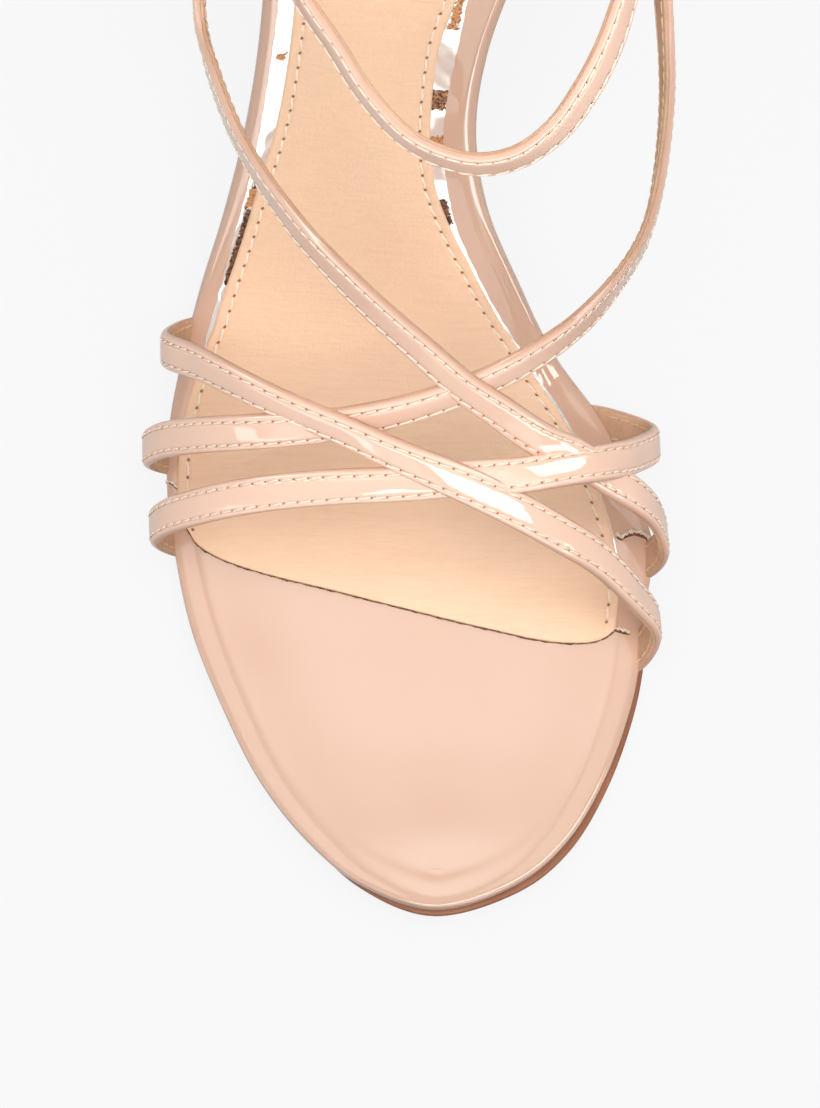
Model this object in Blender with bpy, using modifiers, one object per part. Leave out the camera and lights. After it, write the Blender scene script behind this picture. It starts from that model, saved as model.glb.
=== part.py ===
"""A strappy stiletto sandal for the right foot, standing on its forefoot and its heel tip.

Sizes are in millimetres and become metres where meshes are made. Seen from above, back is the
distance behind the toe tip along the shoe, x points to the inner side of the foot, and z is the
height above the floor. The scene has the toe towards -Y, the inner side towards +X and +Z up.
"""

import math
from collections import namedtuple

import bmesh
import bpy
import numpy as np
from mathutils import Matrix, Vector

MM = 0.001
BACK_CENTRE = 107.0  # the scene's origin is this far behind the toe tip
GAP = 0.3  # between pieces that meet

# The stack of the sole, measured square to the footbed
BED_THICK = 5.0
SOCK_THICK = 0.9
OUTSOLE_THICK = 2.5

# The outline of the footbed: its edges at each distance behind the toe
TOE_TIP = (4.0, 0.2)  # x, back
HEEL_END = (0.5, 213.0)
Outline = namedtuple("Outline", "back lateral medial")
BED_OUTLINE = (
    Outline(4.5, -8.6, 17.9),
    Outline(11.3, -17.0, 26.0),
    Outline(21.3, -25.0, 32.2),
    Outline(34.7, -31.8, 37.1),
    Outline(46.0, -36.3, 38.9),
    Outline(58.0, -39.0, 39.7),
    Outline(70.0, -40.5, 37.2),
    Outline(81.0, -40.0, 31.9),
    Outline(90.5, -38.0, 24.0),
    Outline(100.5, -35.3, 18.0),
    Outline(112.5, -31.4, 11.8),
    Outline(124.5, -28.3, 9.3),
    Outline(136.0, -26.4, 10.7),
    Outline(150.0, -25.4, 15.8),
    Outline(165.0, -25.2, 21.2),
    Outline(180.0, -25.4, 24.6),
    Outline(195.0, -22.8, 23.2),
    Outline(206.5, -15.4, 16.2),
)
OUTLINE_STEPS = 2  # samples between two rows of the outline

# The side view of the footbed: its height and how far its inner side is rolled up
Rise = namedtuple("Rise", "back height roll")
BED_RISE = (
    Rise(0.0, 12.0, 0.0),
    Rise(10.0, 10.3, 0.0),
    Rise(20.0, 9.0, 0.0),
    Rise(30.0, 8.15, 0.0),
    Rise(40.0, 7.8, 0.0),
    Rise(72.0, 7.8, 0.0),
    Rise(84.0, 9.6, 1.0),
    Rise(96.0, 15.0, 4.0),
    Rise(108.0, 23.5, 8.0),
    Rise(120.0, 34.0, 10.0),
    Rise(135.0, 48.0, 9.0),
    Rise(150.0, 61.5, 5.0),
    Rise(165.0, 73.0, 1.0),
    Rise(180.0, 82.0, 0.0),
    Rise(195.0, 88.5, 0.0),
    Rise(213.0, 93.0, 0.0),
)

# The rounded edge of a sole layer: how far in from its outline and how deep each ring lies
Edge = namedtuple("Edge", "inset depth")
BED_EDGE = (Edge(2.6, 0.0), Edge(0.9, 0.5), Edge(0.1, 1.9), Edge(0.3, 3.8), Edge(1.4, BED_THICK))
OUTSOLE_TOP = BED_THICK + GAP
OUTSOLE_EDGE = (
    Edge(0.5, OUTSOLE_TOP),
    Edge(0.0, OUTSOLE_TOP + 0.5),
    Edge(0.2, OUTSOLE_TOP + 1.8),
    Edge(1.0, OUTSOLE_TOP + OUTSOLE_THICK),
)

# How far the outsole stands out past the footbed
Overhang = namedtuple("Overhang", "back lateral medial")
OUTSOLE_OVERHANG = (
    Overhang(0.0, 0.6, 0.6),
    Overhang(12.0, -0.5, 1.1),
    Overhang(40.0, -0.8, 1.0),
    Overhang(60.0, -1.2, -0.6),
    Overhang(90.0, -1.8, -1.8),
    Overhang(170.0, -2.2, -2.2),
)
OUTSOLE_END = 168.0

# How far the sock is set in from the footbed's edges, and its front edge across the foot
Inset = namedtuple("Inset", "back lateral medial")
SOCK_INSET = (
    Inset(40.0, 2.4, 4.6),
    Inset(60.0, 2.4, 5.2),
    Inset(85.0, 2.6, 6.0),
    Inset(105.0, 3.4, 6.0),
    Inset(125.0, 4.6, 6.6),
    Inset(145.0, 5.0, 6.6),
    Inset(170.0, 2.5, 2.5),
    Inset(213.0, 2.0, 2.0),
)
Front = namedtuple("Front", "across back")
SOCK_FRONT = (
    Front(0.0, 63.5),
    Front(0.05, 58.8),
    Front(0.22, 55.0),
    Front(0.50, 50.0),
    Front(0.78, 45.4),
    Front(0.92, 44.1),
    Front(1.0, 45.2),
)
SOCK_ROUND_FROM = 180.0  # its round heel end starts here
SOCK_HEEL_HALF = 23.0
SOCK_ROWS = 34
SOCK_COLUMNS = 10

# The stiletto heel, from the seat down: its back, its breast, its half width and the level
HeelSection = namedtuple("HeelSection", "level back breast half_width")
HEEL_SEAT = HeelSection(None, 214.6, 170.0, 26.2)  # its level follows the footbed
HEEL_SECTIONS = (
    HeelSection(74.0, 212.2, 173.5, 21.4),
    HeelSection(66.0, 209.8, 178.2, 16.6),
    HeelSection(56.0, 207.0, 183.2, 12.2),
    HeelSection(44.0, 204.2, 187.0, 8.9),
    HeelSection(30.0, 201.8, 189.2, 6.6),
    HeelSection(16.0, 200.0, 190.2, 5.2),
    HeelSection(6.3, 199.2, 190.3, 4.7),
)
HEEL_MIDDLE = 0.60  # where the round back meets the flat breast, as a share of the length
HEEL_BREAST_POWER = 0.45  # how square the breast is
HEEL_SIDES = 24
HEEL_TIP_SECTIONS = (
    HeelSection(6.0, 199.2, 190.3, 4.7),
    HeelSection(1.0, 199.4, 190.1, 4.9),
    HeelSection(0.0, 199.0, 190.5, 4.5),
)

# The closed counter: the height of its top edge, and how far that edge stands out past the footbed
COUNTER_WALL = 1.8
CounterTop = namedtuple("CounterTop", "back top out")
COUNTER_TOP = (
    CounterTop(148.0, 66.0, 0.0),
    CounterTop(152.0, 82.0, 0.6),
    CounterTop(156.0, 100.0, 1.4),
    CounterTop(160.0, 116.0, 2.2),
    CounterTop(165.0, 129.0, 2.6),
    CounterTop(171.0, 136.0, 1.8),
    CounterTop(180.0, 140.5, 0.0),
    CounterTop(195.0, 146.0, -5.6),
    CounterTop(206.0, 147.5, -10.8),
    CounterTop(213.0, 148.0, -15.2),
)
COUNTER_FRONT = 148.0
COUNTER_SWELL = 0.8  # how far the wall swells out half way up
COUNTER_CURVE = 1.6  # how late the wall leans as it rises
COUNTER_COLUMNS = 44
COUNTER_LEVELS = 9

# The straps of the upper
STRAP_WIDTH = 6.0
STRAP_THICK = 1.8
STRAP_ROUND = 0.5
STRAP_STEPS = 3  # sections between two rows of a route
TUCK_INSET = 6.5  # how far a strap runs in under the footbed
TUCK_DEPTH = BED_THICK - STRAP_THICK / 2 - 2 * GAP  # of its middle, below the top of the footbed
POCKET_SPARE = 0.35  # room round a strap's end in the footbed
POCKET_DEEPER = 1.2  # more room on the outsole's side

# The middle of the foot, which the straps face away from
Point = namedtuple("Point", "x back z")
FOOT_CORE = (
    Point(2.0, 5.0, 10.0),
    Point(2.0, 45.0, 16.0),
    Point(1.0, 70.0, 18.0),
    Point(0.0, 88.0, 26.0),
    Point(0.0, 110.0, 50.0),
)
ANKLE_MIDDLE = (1.0, 155.0)  # x, back

# Each strap starts under one edge of the footbed, runs over the foot and ends under the other
# edge, or on the counter. A tuck is the edge and how far behind the toe. Lean turns a strap's
# face up from level, in degrees; where it is None the strap faces away from the middle of the foot.
Tuck = namedtuple("Tuck", "edge back")
Row = namedtuple("Row", "x back z lean", defaults=(None,))
Strap = namedtuple("Strap", "name start rows end")
TOE_STRAP = Strap(
    "toe_strap",
    Tuck("lateral", 93.8),
    (
        Row(-41.0, 91.6, 22.0),
        Row(-35.6, 87.8, 35.5),
        Row(-29.1, 83.6, 44.0),
        Row(-22.8, 80.1, 48.4),
        Row(-13.2, 75.8, 51.0),
        Row(-3.7, 71.5, 50.8),
        Row(6.0, 67.6, 49.2),
        Row(15.9, 63.3, 45.0),
        Row(22.8, 60.0, 40.2),
        Row(29.7, 56.6, 33.0),
        Row(36.1, 51.5, 24.0),
        Row(40.4, 46.8, 14.0),
    ),
    Tuck("medial", 42.0),
)
BALL_STRAP = Strap(
    "ball_strap",
    Tuck("lateral", 61.3),
    (
        Row(-42.6, 62.6, 12.5),
        Row(-41.0, 63.9, 20.5),
        Row(-35.4, 65.0, 30.5),
        Row(-29.0, 65.9, 37.5),
        Row(-22.6, 66.5, 42.0),
        Row(-13.1, 67.0, 46.0),
        Row(-3.5, 67.3, 47.8),
        Row(6.2, 68.2, 47.7),
        Row(16.0, 69.0, 46.0),
        Row(22.8, 70.3, 43.3),
        Row(29.7, 71.7, 37.6),
        Row(36.1, 73.8, 27.5),
        Row(40.0, 77.3, 15.0),
    ),
    Tuck("medial", 80.6),
)
INNER_ANKLE_STRAP = Strap(
    "inner_ankle_strap",
    Tuck("lateral", 74.8),
    (
        Row(-43.8, 75.6, 13.5),
        Row(-41.6, 76.4, 23.0),
        Row(-35.4, 76.3, 34.0),
        Row(-29.1, 76.1, 41.3),
        Row(-22.7, 76.1, 45.8),
        Row(-13.2, 76.8, 49.6),
        Row(-3.7, 78.6, 51.8, 68.0),
        Row(4.3, 81.0, 53.0, 58.0),
        Row(12.2, 84.2, 54.6, 46.0),
        Row(18.4, 87.5, 57.6, 36.0),
        Row(24.5, 91.8, 62.6, 26.0),
        Row(28.8, 96.3, 68.6, 18.0),
        Row(32.3, 101.2, 75.5, 10.0),
        Row(34.2, 105.8, 82.0, 4.0),
        Row(35.2, 111.8, 90.0, 1.0),
        Row(35.5, 119.2, 99.0, -1.0),
        Row(35.2, 125.7, 106.5, -4.0),
        Row(34.0, 134.9, 115.5, -9.0),
        Row(32.4, 148.0, 122.8, -9.0),
        Row(30.4, 160.0, 126.6, -5.0),
        Row(28.9, 171.0, 128.2, -2.0),
        Row(28.3, 182.0, 128.6, 2.0),
    ),
    None,
)
OUTER_ANKLE_STRAP = Strap(
    "outer_ankle_strap",
    Tuck("medial", 57.5),
    (
        Row(42.2, 60.0, 13.0),
        Row(40.4, 64.3, 22.0),
        Row(36.6, 66.9, 29.0),
        Row(32.0, 69.2, 34.0),
        Row(25.9, 72.3, 40.0),
        Row(19.1, 74.9, 45.4, 68.0),
        Row(12.3, 78.8, 51.0, 60.0),
        Row(5.9, 82.6, 55.6, 52.0),
        Row(-0.6, 87.7, 60.2, 45.0),
        Row(-7.1, 92.8, 65.2, 40.0),
        Row(-13.5, 98.2, 71.0, 32.0),
        Row(-19.3, 103.5, 77.0, 20.0),
        Row(-24.1, 108.8, 83.5, 13.0),
        Row(-28.5, 114.4, 90.5, 8.0),
        Row(-31.6, 119.4, 97.0, 4.0),
        Row(-35.0, 127.3, 106.5, 1.0),
        Row(-36.9, 134.9, 115.5, -3.0),
        Row(-35.4, 148.0, 122.8, -5.0),
        Row(-32.8, 160.0, 126.6, -4.0),
        Row(-31.0, 170.0, 128.2, -2.0),
        Row(-29.2, 182.0, 128.6, 2.0),
    ),
    None,
)
UPPER_STRAPS = (TOE_STRAP, BALL_STRAP, INNER_ANKLE_STRAP, OUTER_ANKLE_STRAP)

# The ankle strap, from its buckle forward round the front of the ankle and back to the buckle
ANKLE_ROWS = (
    Row(-28.8, 153.0, 136.4, 6.0),
    Row(-26.4, 143.0, 132.4, 10.0),
    Row(-21.6, 134.0, 128.4, 13.0),
    Row(-16.6, 127.0, 126.4, 13.0),
    Row(-12.1, 120.2, 124.8, 12.0),
    Row(-6.2, 114.0, 123.4, 12.0),
    Row(-0.5, 111.0, 122.4, 14.0),
    Row(5.5, 109.8, 121.9, 18.0),
    Row(11.5, 111.0, 122.2, 22.0),
    Row(17.2, 115.0, 123.2, 30.0),
    Row(21.5, 120.8, 124.8, 37.0),
    Row(24.8, 127.2, 126.6, 37.0),
    Row(27.0, 133.8, 128.4, 32.0),
    Row(29.0, 142.0, 131.2, 24.0),
    Row(30.0, 153.0, 134.8, 14.0),
    Row(29.8, 166.0, 138.2, 6.0),
    Row(28.4, 181.0, 140.8, 6.0),
    Row(22.8, 195.6, 142.0, 14.0),
    Row(8.0, 205.2, 142.6, 20.0),
    Row(-7.0, 205.2, 142.6, 20.0),
    Row(-22.2, 195.6, 142.0, 14.0),
    Row(-29.0, 181.0, 141.0, 6.0),
    Row(-30.8, 169.0, 139.6, 4.0),
)
# Where the free end of the ankle strap runs, past the buckle's bars, in the buckle's own frame
BuckleRun = namedtuple("BuckleRun", "along out")
BUCKLE_RUN = (BuckleRun(-9.5, -0.2), BuckleRun(-4.5, 1.6), BuckleRun(0.0, 3.5))
TAIL_OUT = STRAP_THICK + 0.4  # the free end lies this far outside the strap under it
TAIL_STOPS = (6.0, 9.5, 13.0, 16.5)  # along that strap from the buckle's bar
KEEPER_STOP = 10.5
BUCKLE_WIRE = 0.75  # radius
BUCKLE_LENGTH = 9.0  # between its two bars
BUCKLE_HALF_HEIGHT = 4.6
BUCKLE_LIFT = 2.4  # of the far bar, outwards
BUCKLE_CORNER = 1.6
PRONG_WIRE = 0.55
PRONG_RUN = (
    BuckleRun(-1.5, 0.0),
    BuckleRun(-3.2, 0.4),
    BuckleRun(-5.2, 1.9),
    BuckleRun(-7.2, 3.5),
    BuckleRun(-9.9, 4.2),
)
FOLD_RADIUS = 2.2  # of the strap's fold round the buckle's bar
PRONG_SLOT = 2.0
HOLE_ALONG = (-8.0, -2.6)
LOOP_WALL = 1.0
LOOP_SPARE = 0.35
KEEPER_LENGTH = 4.0
BACK_LOOP_LENGTH = 9.0

PATENT = ((0.87, 0.60, 0.48), 0.12, 0.0)  # colour, roughness, metallic
SOCK_LEATHER = ((0.94, 0.72, 0.50), 0.55, 0.0)
SOLE_RESIN = ((0.48, 0.19, 0.09), 0.35, 0.0)
TIP_RUBBER = ((0.35, 0.20, 0.13), 0.50, 0.0)
BUCKLE_METAL = ((0.93, 0.68, 0.55), 0.18, 1.0)


# Curves and tables


def column(rows, name):
    """One named column of a table."""
    return np.array([getattr(row, name) for row in rows], float)


def steady(backs, values, at):
    """A cubic through a table that stays level between two equal values and never overshoots."""
    step = np.diff(backs)
    slope = np.diff(values) / step
    tangent = np.zeros(len(backs))
    for i in range(1, len(backs) - 1):
        if slope[i - 1] * slope[i] > 0:
            first = 2 * step[i] + step[i - 1]
            second = step[i] + 2 * step[i - 1]
            tangent[i] = (first + second) / (first / slope[i - 1] + second / slope[i])
    tangent[0], tangent[-1] = slope[0], slope[-1]
    at = np.clip(at, backs[0], backs[-1])
    i = np.clip(np.searchsorted(backs, at) - 1, 0, len(step) - 1)
    t = (at - backs[i]) / step[i]
    return (
        values[i] * (1 + 2 * t) * (1 - t) ** 2
        + step[i] * tangent[i] * t * (1 - t) ** 2
        + values[i + 1] * t * t * (3 - 2 * t)
        + step[i] * tangent[i + 1] * t * t * (t - 1)
    )


def smooth(points, steps, before=None, after=None):
    """A smooth curve through the points, with this many samples for each span."""
    points = np.asarray(points, float)
    before = 2 * points[0] - points[1] if before is None else before
    after = 2 * points[-1] - points[-2] if after is None else after
    padded = np.vstack([before, points, after])
    knots = np.concatenate([[0], np.cumsum(np.linalg.norm(np.diff(padded, axis=0), axis=1) ** 0.5)])
    found = []
    for i in range(1, len(padded) - 2):
        t0, t1, t2, t3 = knots[i - 1 : i + 3]
        p0, p1, p2, p3 = padded[i - 1 : i + 3]
        for t in np.linspace(t1, t2, steps, endpoint=False):
            a1 = p0 + (p1 - p0) * (t - t0) / (t1 - t0)
            a2 = p1 + (p2 - p1) * (t - t1) / (t2 - t1)
            a3 = p2 + (p3 - p2) * (t - t2) / (t3 - t2)
            b1 = a1 + (a2 - a1) * (t - t0) / (t2 - t0)
            b2 = a2 + (a3 - a2) * (t - t1) / (t3 - t1)
            found.append(b1 + (b2 - b1) * (t - t1) / (t2 - t1))
    found.append(padded[-2])
    return np.array(found)


def unit(vectors):
    """The vectors, each made one long."""
    vectors = np.asarray(vectors, float)
    return vectors / np.linalg.norm(vectors, axis=-1, keepdims=True)


def travel(points):
    """The distance along a route at each of its points."""
    return np.concatenate([[0], np.cumsum(np.linalg.norm(np.diff(points, axis=0), axis=1))])


# The footbed's surface and outline


def bed_height(back):
    """The height of the footbed's top on its middle line."""
    return steady(column(BED_RISE, "back"), column(BED_RISE, "height"), back)


def bed_slope(back):
    """The angle that the footbed climbs at."""
    return np.arctan((bed_height(back + 0.5) - bed_height(back - 0.5)) / 1.0)


def edge_curve(side):
    """One edge of the footbed from the toe tip to the heel's end, as rows of x and back."""
    other = "medial" if side == "lateral" else "lateral"
    rows = [(getattr(row, side), row.back) for row in BED_OUTLINE]
    across = [(getattr(row, other), row.back) for row in BED_OUTLINE]
    return smooth([TOE_TIP, *rows, HEEL_END], OUTLINE_STEPS, across[0], across[-1])


LATERAL, MEDIAL = edge_curve("lateral"), edge_curve("medial")


def edge_x(side, back):
    """Where the footbed's edge is, at a distance behind the toe."""
    edge = LATERAL if side == "lateral" else MEDIAL
    return np.interp(back, edge[:, 1], edge[:, 0])


def bed_point(x, back, depth=0.0):
    """A point at a depth below the footbed's top, square to its climb."""
    middle = (edge_x("lateral", back) + edge_x("medial", back)) / 2
    roll = np.radians(steady(column(BED_RISE, "back"), column(BED_RISE, "roll"), back))
    slope = bed_slope(back)
    z = bed_height(back) + (x - middle) * np.tan(roll)
    return np.stack([x, back + depth * np.sin(slope), z - depth * np.cos(slope)], axis=-1)


def outward(edge, side):
    """The direction out of the outline at each sample of an edge, seen from above."""
    along = np.gradient(edge, axis=0)
    sign = -1.0 if side == "lateral" else 1.0
    out = unit(np.stack([along[:, 1], -along[:, 0]], axis=1)) * sign
    out[0], out[-1] = (0.0, -1.0), (0.0, 1.0)
    return out


def moved_edges(lateral_out, medial_out):
    """The two edges moved outwards by functions of the distance behind the toe."""
    moved = []
    for edge, side, out in ((LATERAL, "lateral", lateral_out), (MEDIAL, "medial", medial_out)):
        moved.append(edge + outward(edge, side) * out(edge[:, 1])[:, None])
    return moved


# Meshes


def to_scene(points):
    """Millimetres along the shoe to metres in the scene."""
    points = np.asarray(points, float)
    return (points - (0.0, BACK_CENTRE, 0.0)) * MM


def new_object(name, mesh, finish, collection):
    """An object with its own material, linked to a collection."""
    obj = bpy.data.objects.new(name, mesh)
    collection.objects.link(obj)
    colour, roughness, metallic = finish
    material = bpy.data.materials.new(name)
    material.use_nodes = True
    shader = material.node_tree.nodes["Principled BSDF"]
    shader.inputs["Base Color"].default_value = (*colour, 1.0)
    shader.inputs["Roughness"].default_value = roughness
    shader.inputs["Metallic"].default_value = metallic
    mesh.materials.append(material)
    mesh.shade_smooth()
    mesh.set_sharp_from_angle(angle=math.radians(40))
    return obj


def mesh_from(bm, name):
    """A mesh with its doubled points merged and its faces turned outwards."""
    bmesh.ops.remove_doubles(bm, verts=bm.verts, dist=0.02 * MM)
    bmesh.ops.recalc_face_normals(bm, faces=bm.faces)
    mesh = bpy.data.meshes.new(name)
    bm.to_mesh(mesh)
    bm.free()
    return mesh


def loft(name, rings):
    """A closed solid through rings of equally many points, whose ends are closed by rungs.

    Point j of an end ring is joined to point n - j, so points 0 and n / 2 are the ends of the rungs.
    """
    bm = bmesh.new()
    loops = [[bm.verts.new(p) for p in to_scene(ring)] for ring in rings]
    count = len(loops[0])
    for lower, upper in zip(loops, loops[1:]):
        for j in range(count):
            k = (j + 1) % count
            bm.faces.new((lower[j], lower[k], upper[k], upper[j]))
    for loop in (loops[0], loops[-1]):
        for j in range(count // 2):
            corners = [loop[j], loop[j + 1], loop[(count - j - 1) % count], loop[(count - j) % count]]
            bm.faces.new(list(dict.fromkeys(corners)))
    return mesh_from(bm, name)


def sole_layer(name, profile, lateral_out, medial_out, last_back=None):
    """A layer of the sole with a rounded edge, from its profile of rings and its outline."""
    rings = []
    for ring in profile:
        lateral, medial = moved_edges(
            lambda back, inset=ring.inset: lateral_out(back) - inset,
            lambda back, inset=ring.inset: medial_out(back) - inset,
        )
        if last_back is not None:
            kept = LATERAL[:, 1] < last_back
            lateral, medial = lateral[kept], medial[kept]
            around = np.vstack([medial, lateral[:0:-1]])
        else:
            around = np.vstack([medial, lateral[-2:0:-1]])
        rings.append(bed_point(around[:, 0], around[:, 1], ring.depth))
    return loft(name, rings)


def make_footbed(collection):
    """The insole board, wrapped in patent, with a pocket under its edge for each strap end."""
    mesh = sole_layer("footbed", BED_EDGE, np.zeros_like, np.zeros_like)
    return new_object("footbed", mesh, PATENT, collection)


def make_outsole(collection):
    """The thin outsole under the footbed, flat under the ball, as far as the heel's breast."""

    def overhang(name):
        return lambda back: np.interp(
            back, column(OUTSOLE_OVERHANG, "back"), column(OUTSOLE_OVERHANG, name)
        )

    mesh = sole_layer("outsole", OUTSOLE_EDGE, overhang("lateral"), overhang("medial"), OUTSOLE_END)
    return new_object("outsole", mesh, SOLE_RESIN, collection)


def sock_point(across, along, depth):
    """A point of the sock: across from outer to inner edge, along from its front edge to the heel."""
    front = steady(column(SOCK_FRONT, "across"), column(SOCK_FRONT, "back"), across)
    last = HEEL_END[1] - SOCK_INSET[-1].lateral
    back = front + (last - front) * along
    insets = column(SOCK_INSET, "back")
    lateral = edge_x("lateral", back) + np.interp(back, insets, column(SOCK_INSET, "lateral"))
    medial = edge_x("medial", back) - np.interp(back, insets, column(SOCK_INSET, "medial"))
    past = np.clip((back - SOCK_ROUND_FROM) / (last - SOCK_ROUND_FROM), 0.0, 1.0)
    half = SOCK_HEEL_HALF * np.sqrt(1.0 - past**2)
    rounded = back > SOCK_ROUND_FROM
    lateral = np.where(rounded, np.maximum(lateral, HEEL_END[0] - half), lateral)
    medial = np.where(rounded, np.minimum(medial, HEEL_END[0] + half), medial)
    return bed_point(lateral + (medial - lateral) * across, back, depth)


def make_sock(collection):
    """The sock that lines the footbed, from its slanting front edge to the heel."""
    bm = bmesh.new()
    bmesh.ops.create_grid(bm, x_segments=SOCK_COLUMNS, y_segments=SOCK_ROWS, size=0.5)
    for vert in bm.verts:
        across, along = vert.co.x + 0.5, vert.co.y + 0.5
        vert.co = to_scene(sock_point(np.float64(across), np.float64(along), -GAP))
    obj = new_object("sock", mesh_from(bm, "sock"), SOCK_LEATHER, collection)
    wall = obj.modifiers.new("thickness", "SOLIDIFY")
    wall.thickness = SOCK_THICK * MM
    wall.offset = 1.0
    return obj


def heel_ring(section):
    """One section of the heel: round at the back and squarer at the breast."""
    middle = section.breast + (section.back - section.breast) * HEEL_MIDDLE
    ring = []
    for j in range(HEEL_SIDES):
        angle = 2 * math.pi * j / HEEL_SIDES + math.pi / 2
        across, along = math.cos(angle), math.sin(angle)
        if along >= 0:
            x, back = across, middle + (section.back - middle) * along
        else:
            x = math.copysign(abs(across) ** HEEL_BREAST_POWER, across)
            back = middle - (middle - section.breast) * abs(along) ** HEEL_BREAST_POWER
        ring.append((HEEL_END[0] + section.half_width * x, back, section.level))
    return ring


def make_heel(collection):
    """The stiletto heel under the footbed, from its seat to just above the tip."""
    seat = np.array([p[:2] for p in heel_ring(HEEL_SEAT)])
    under = bed_height(seat[:, 1]) - (BED_THICK + 1.5 * GAP) / np.cos(bed_slope(seat[:, 1]))
    rings = [np.column_stack([seat, under])]
    rings += [np.array(heel_ring(section)) for section in HEEL_SECTIONS]
    slant = rings[0][:, 2] - rings[0][:, 2].mean()
    rings[1][:, 2] += 0.75 * slant
    rings[2][:, 2] += 0.35 * slant
    return new_object("heel", loft("heel", rings), PATENT, collection)


def make_heel_tip(collection):
    """The small tip that the heel stands on."""
    rings = [np.array(heel_ring(section)) for section in HEEL_TIP_SECTIONS]
    return new_object("heel_tip", loft("heel_tip", rings), TIP_RUBBER, collection)


def counter_line():
    """The footbed's outline round the heel, from the outer front of the counter to the inner front."""
    fronts = [(edge_x(side, COUNTER_FRONT), COUNTER_FRONT) for side in ("lateral", "medial")]
    lateral = LATERAL[LATERAL[:, 1] > COUNTER_FRONT]
    medial = MEDIAL[MEDIAL[:, 1] > COUNTER_FRONT]
    line = np.vstack([fronts[0], lateral, medial[-2::-1], fronts[1]])
    travelled = travel(line)
    even = np.linspace(0, travelled[-1], COUNTER_COLUMNS + 1)
    line = np.stack([np.interp(even, travelled, line[:, k]) for k in range(2)], axis=1)
    along = np.gradient(line, axis=0)
    out = unit(np.stack([-along[:, 1], along[:, 0]], axis=1))
    return line, out


def make_counter(collection):
    """The closed counter: a wall round the heel that leans in towards its top edge."""
    line, out = counter_line()
    bm = bmesh.new()
    bmesh.ops.create_grid(bm, x_segments=len(line) - 1, y_segments=COUNTER_LEVELS, size=0.5)
    for vert in bm.verts:
        i = round((vert.co.x + 0.5) * (len(line) - 1))
        share = vert.co.y + 0.5
        (x, back), (out_x, out_back) = line[i], out[i]
        low = bed_point(x, back, BED_THICK - GAP)[2]
        top = steady(column(COUNTER_TOP, "back"), column(COUNTER_TOP, "top"), back)
        z = low + (top - low) * share
        lean = steady(column(COUNTER_TOP, "back"), column(COUNTER_TOP, "out"), back)
        reach = GAP + lean * share**COUNTER_CURVE + COUNTER_SWELL * math.sin(math.pi * share)
        reach += BED_THICK * math.sin(bed_slope(back)) * max(out_back, 0.0)
        vert.co = to_scene((x + out_x * reach, back + out_back * reach, z))
    obj = new_object("counter", mesh_from(bm, "counter"), PATENT, collection)
    wall = obj.modifiers.new("thickness", "SOLIDIFY")
    wall.thickness = COUNTER_WALL * MM
    wall.offset = 1.0 if faces_out(obj.data) else -1.0
    return obj


def faces_out(mesh):
    """Whether an open wall's faces look away from its middle."""
    middle = sum((v.co for v in mesh.vertices), Vector()) / len(mesh.vertices)
    return sum((p.center - middle).dot(p.normal) * p.area for p in mesh.polygons) > 0


# Straps


def tuck_rows(tuck):
    """How a strap's end runs in under the footbed's edge, from the inside out."""
    sign = -1.0 if tuck.edge == "lateral" else 1.0
    edge = edge_x(tuck.edge, tuck.back)
    inside = bed_point(edge - sign * TUCK_INSET, tuck.back, TUCK_DEPTH)
    under = bed_point(edge - sign * 1.5, tuck.back, TUCK_DEPTH)
    return [Row(*inside), Row(*under)]


def faces(rows):
    """The direction that each row of a route faces, before it is squared to the route."""
    spots = np.array([row[:3] for row in rows])
    along = unit(np.gradient(spots, axis=0))
    core = smooth(FOOT_CORE, 12)
    found = []
    for spot, forward, row in zip(spots, along, rows):
        if row.lean is None:
            away = spot - core[np.argmin(np.linalg.norm(spot - core, axis=1))]
        else:
            level = unit((forward[1], -forward[0], 0.0))
            from_ankle = spot[:2] - ANKLE_MIDDLE
            level = level * math.copysign(1.0, level[:2] @ from_ankle)
            steep = np.cross(forward, level)
            steep = steep * math.copysign(1.0, steep[2])
            lean = math.radians(row.lean)
            away = level * math.cos(lean) + steep * math.sin(lean)
        found.append(unit(away - forward * (away @ forward)))
    return np.array(found)


def follow(rows):
    """A smooth route through rows: its middle line, its tangents and its outward directions."""
    line = smooth([row[:3] for row in rows], STRAP_STEPS)
    along = unit(np.gradient(line, axis=0))
    turns = faces(rows)
    shares = np.linspace(0, len(rows) - 1, len(line))
    out = np.stack([np.interp(shares, range(len(rows)), turns[:, k]) for k in range(3)], axis=1)
    return line, along, unit(out - along * np.sum(out * along, axis=1, keepdims=True))


def ribbon_rings(points, along, out, width, thick):
    """Sections of a flat strap with rounded edges along a route."""
    across = np.cross(along, out)
    half, deep, corner = width / 2, thick / 2, STRAP_ROUND
    section = (
        (half, 0.0),
        (half - 0.15, deep - corner),
        (half - corner, deep),
        (corner - half, deep),
        (0.15 - half, deep - corner),
        (-half, 0.0),
        (0.15 - half, corner - deep),
        (corner - half, -deep),
        (half - corner, -deep),
        (half - 0.15, corner - deep),
    )
    return [
        np.array([p + a * side + o * up for side, up in section])
        for p, a, o in zip(points, across, out)
    ]


def strap_route(strap):
    """A strap of the upper with its tucks: its middle line, tangents and outward directions."""
    rows = tuck_rows(strap.start) + list(strap.rows)
    if strap.end is not None:
        rows += tuck_rows(strap.end)[::-1]
    return follow(rows)


def strap_mesh(strap):
    """A strap of the upper as a solid."""
    return loft(strap.name, ribbon_rings(*strap_route(strap), STRAP_WIDTH, STRAP_THICK))


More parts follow.
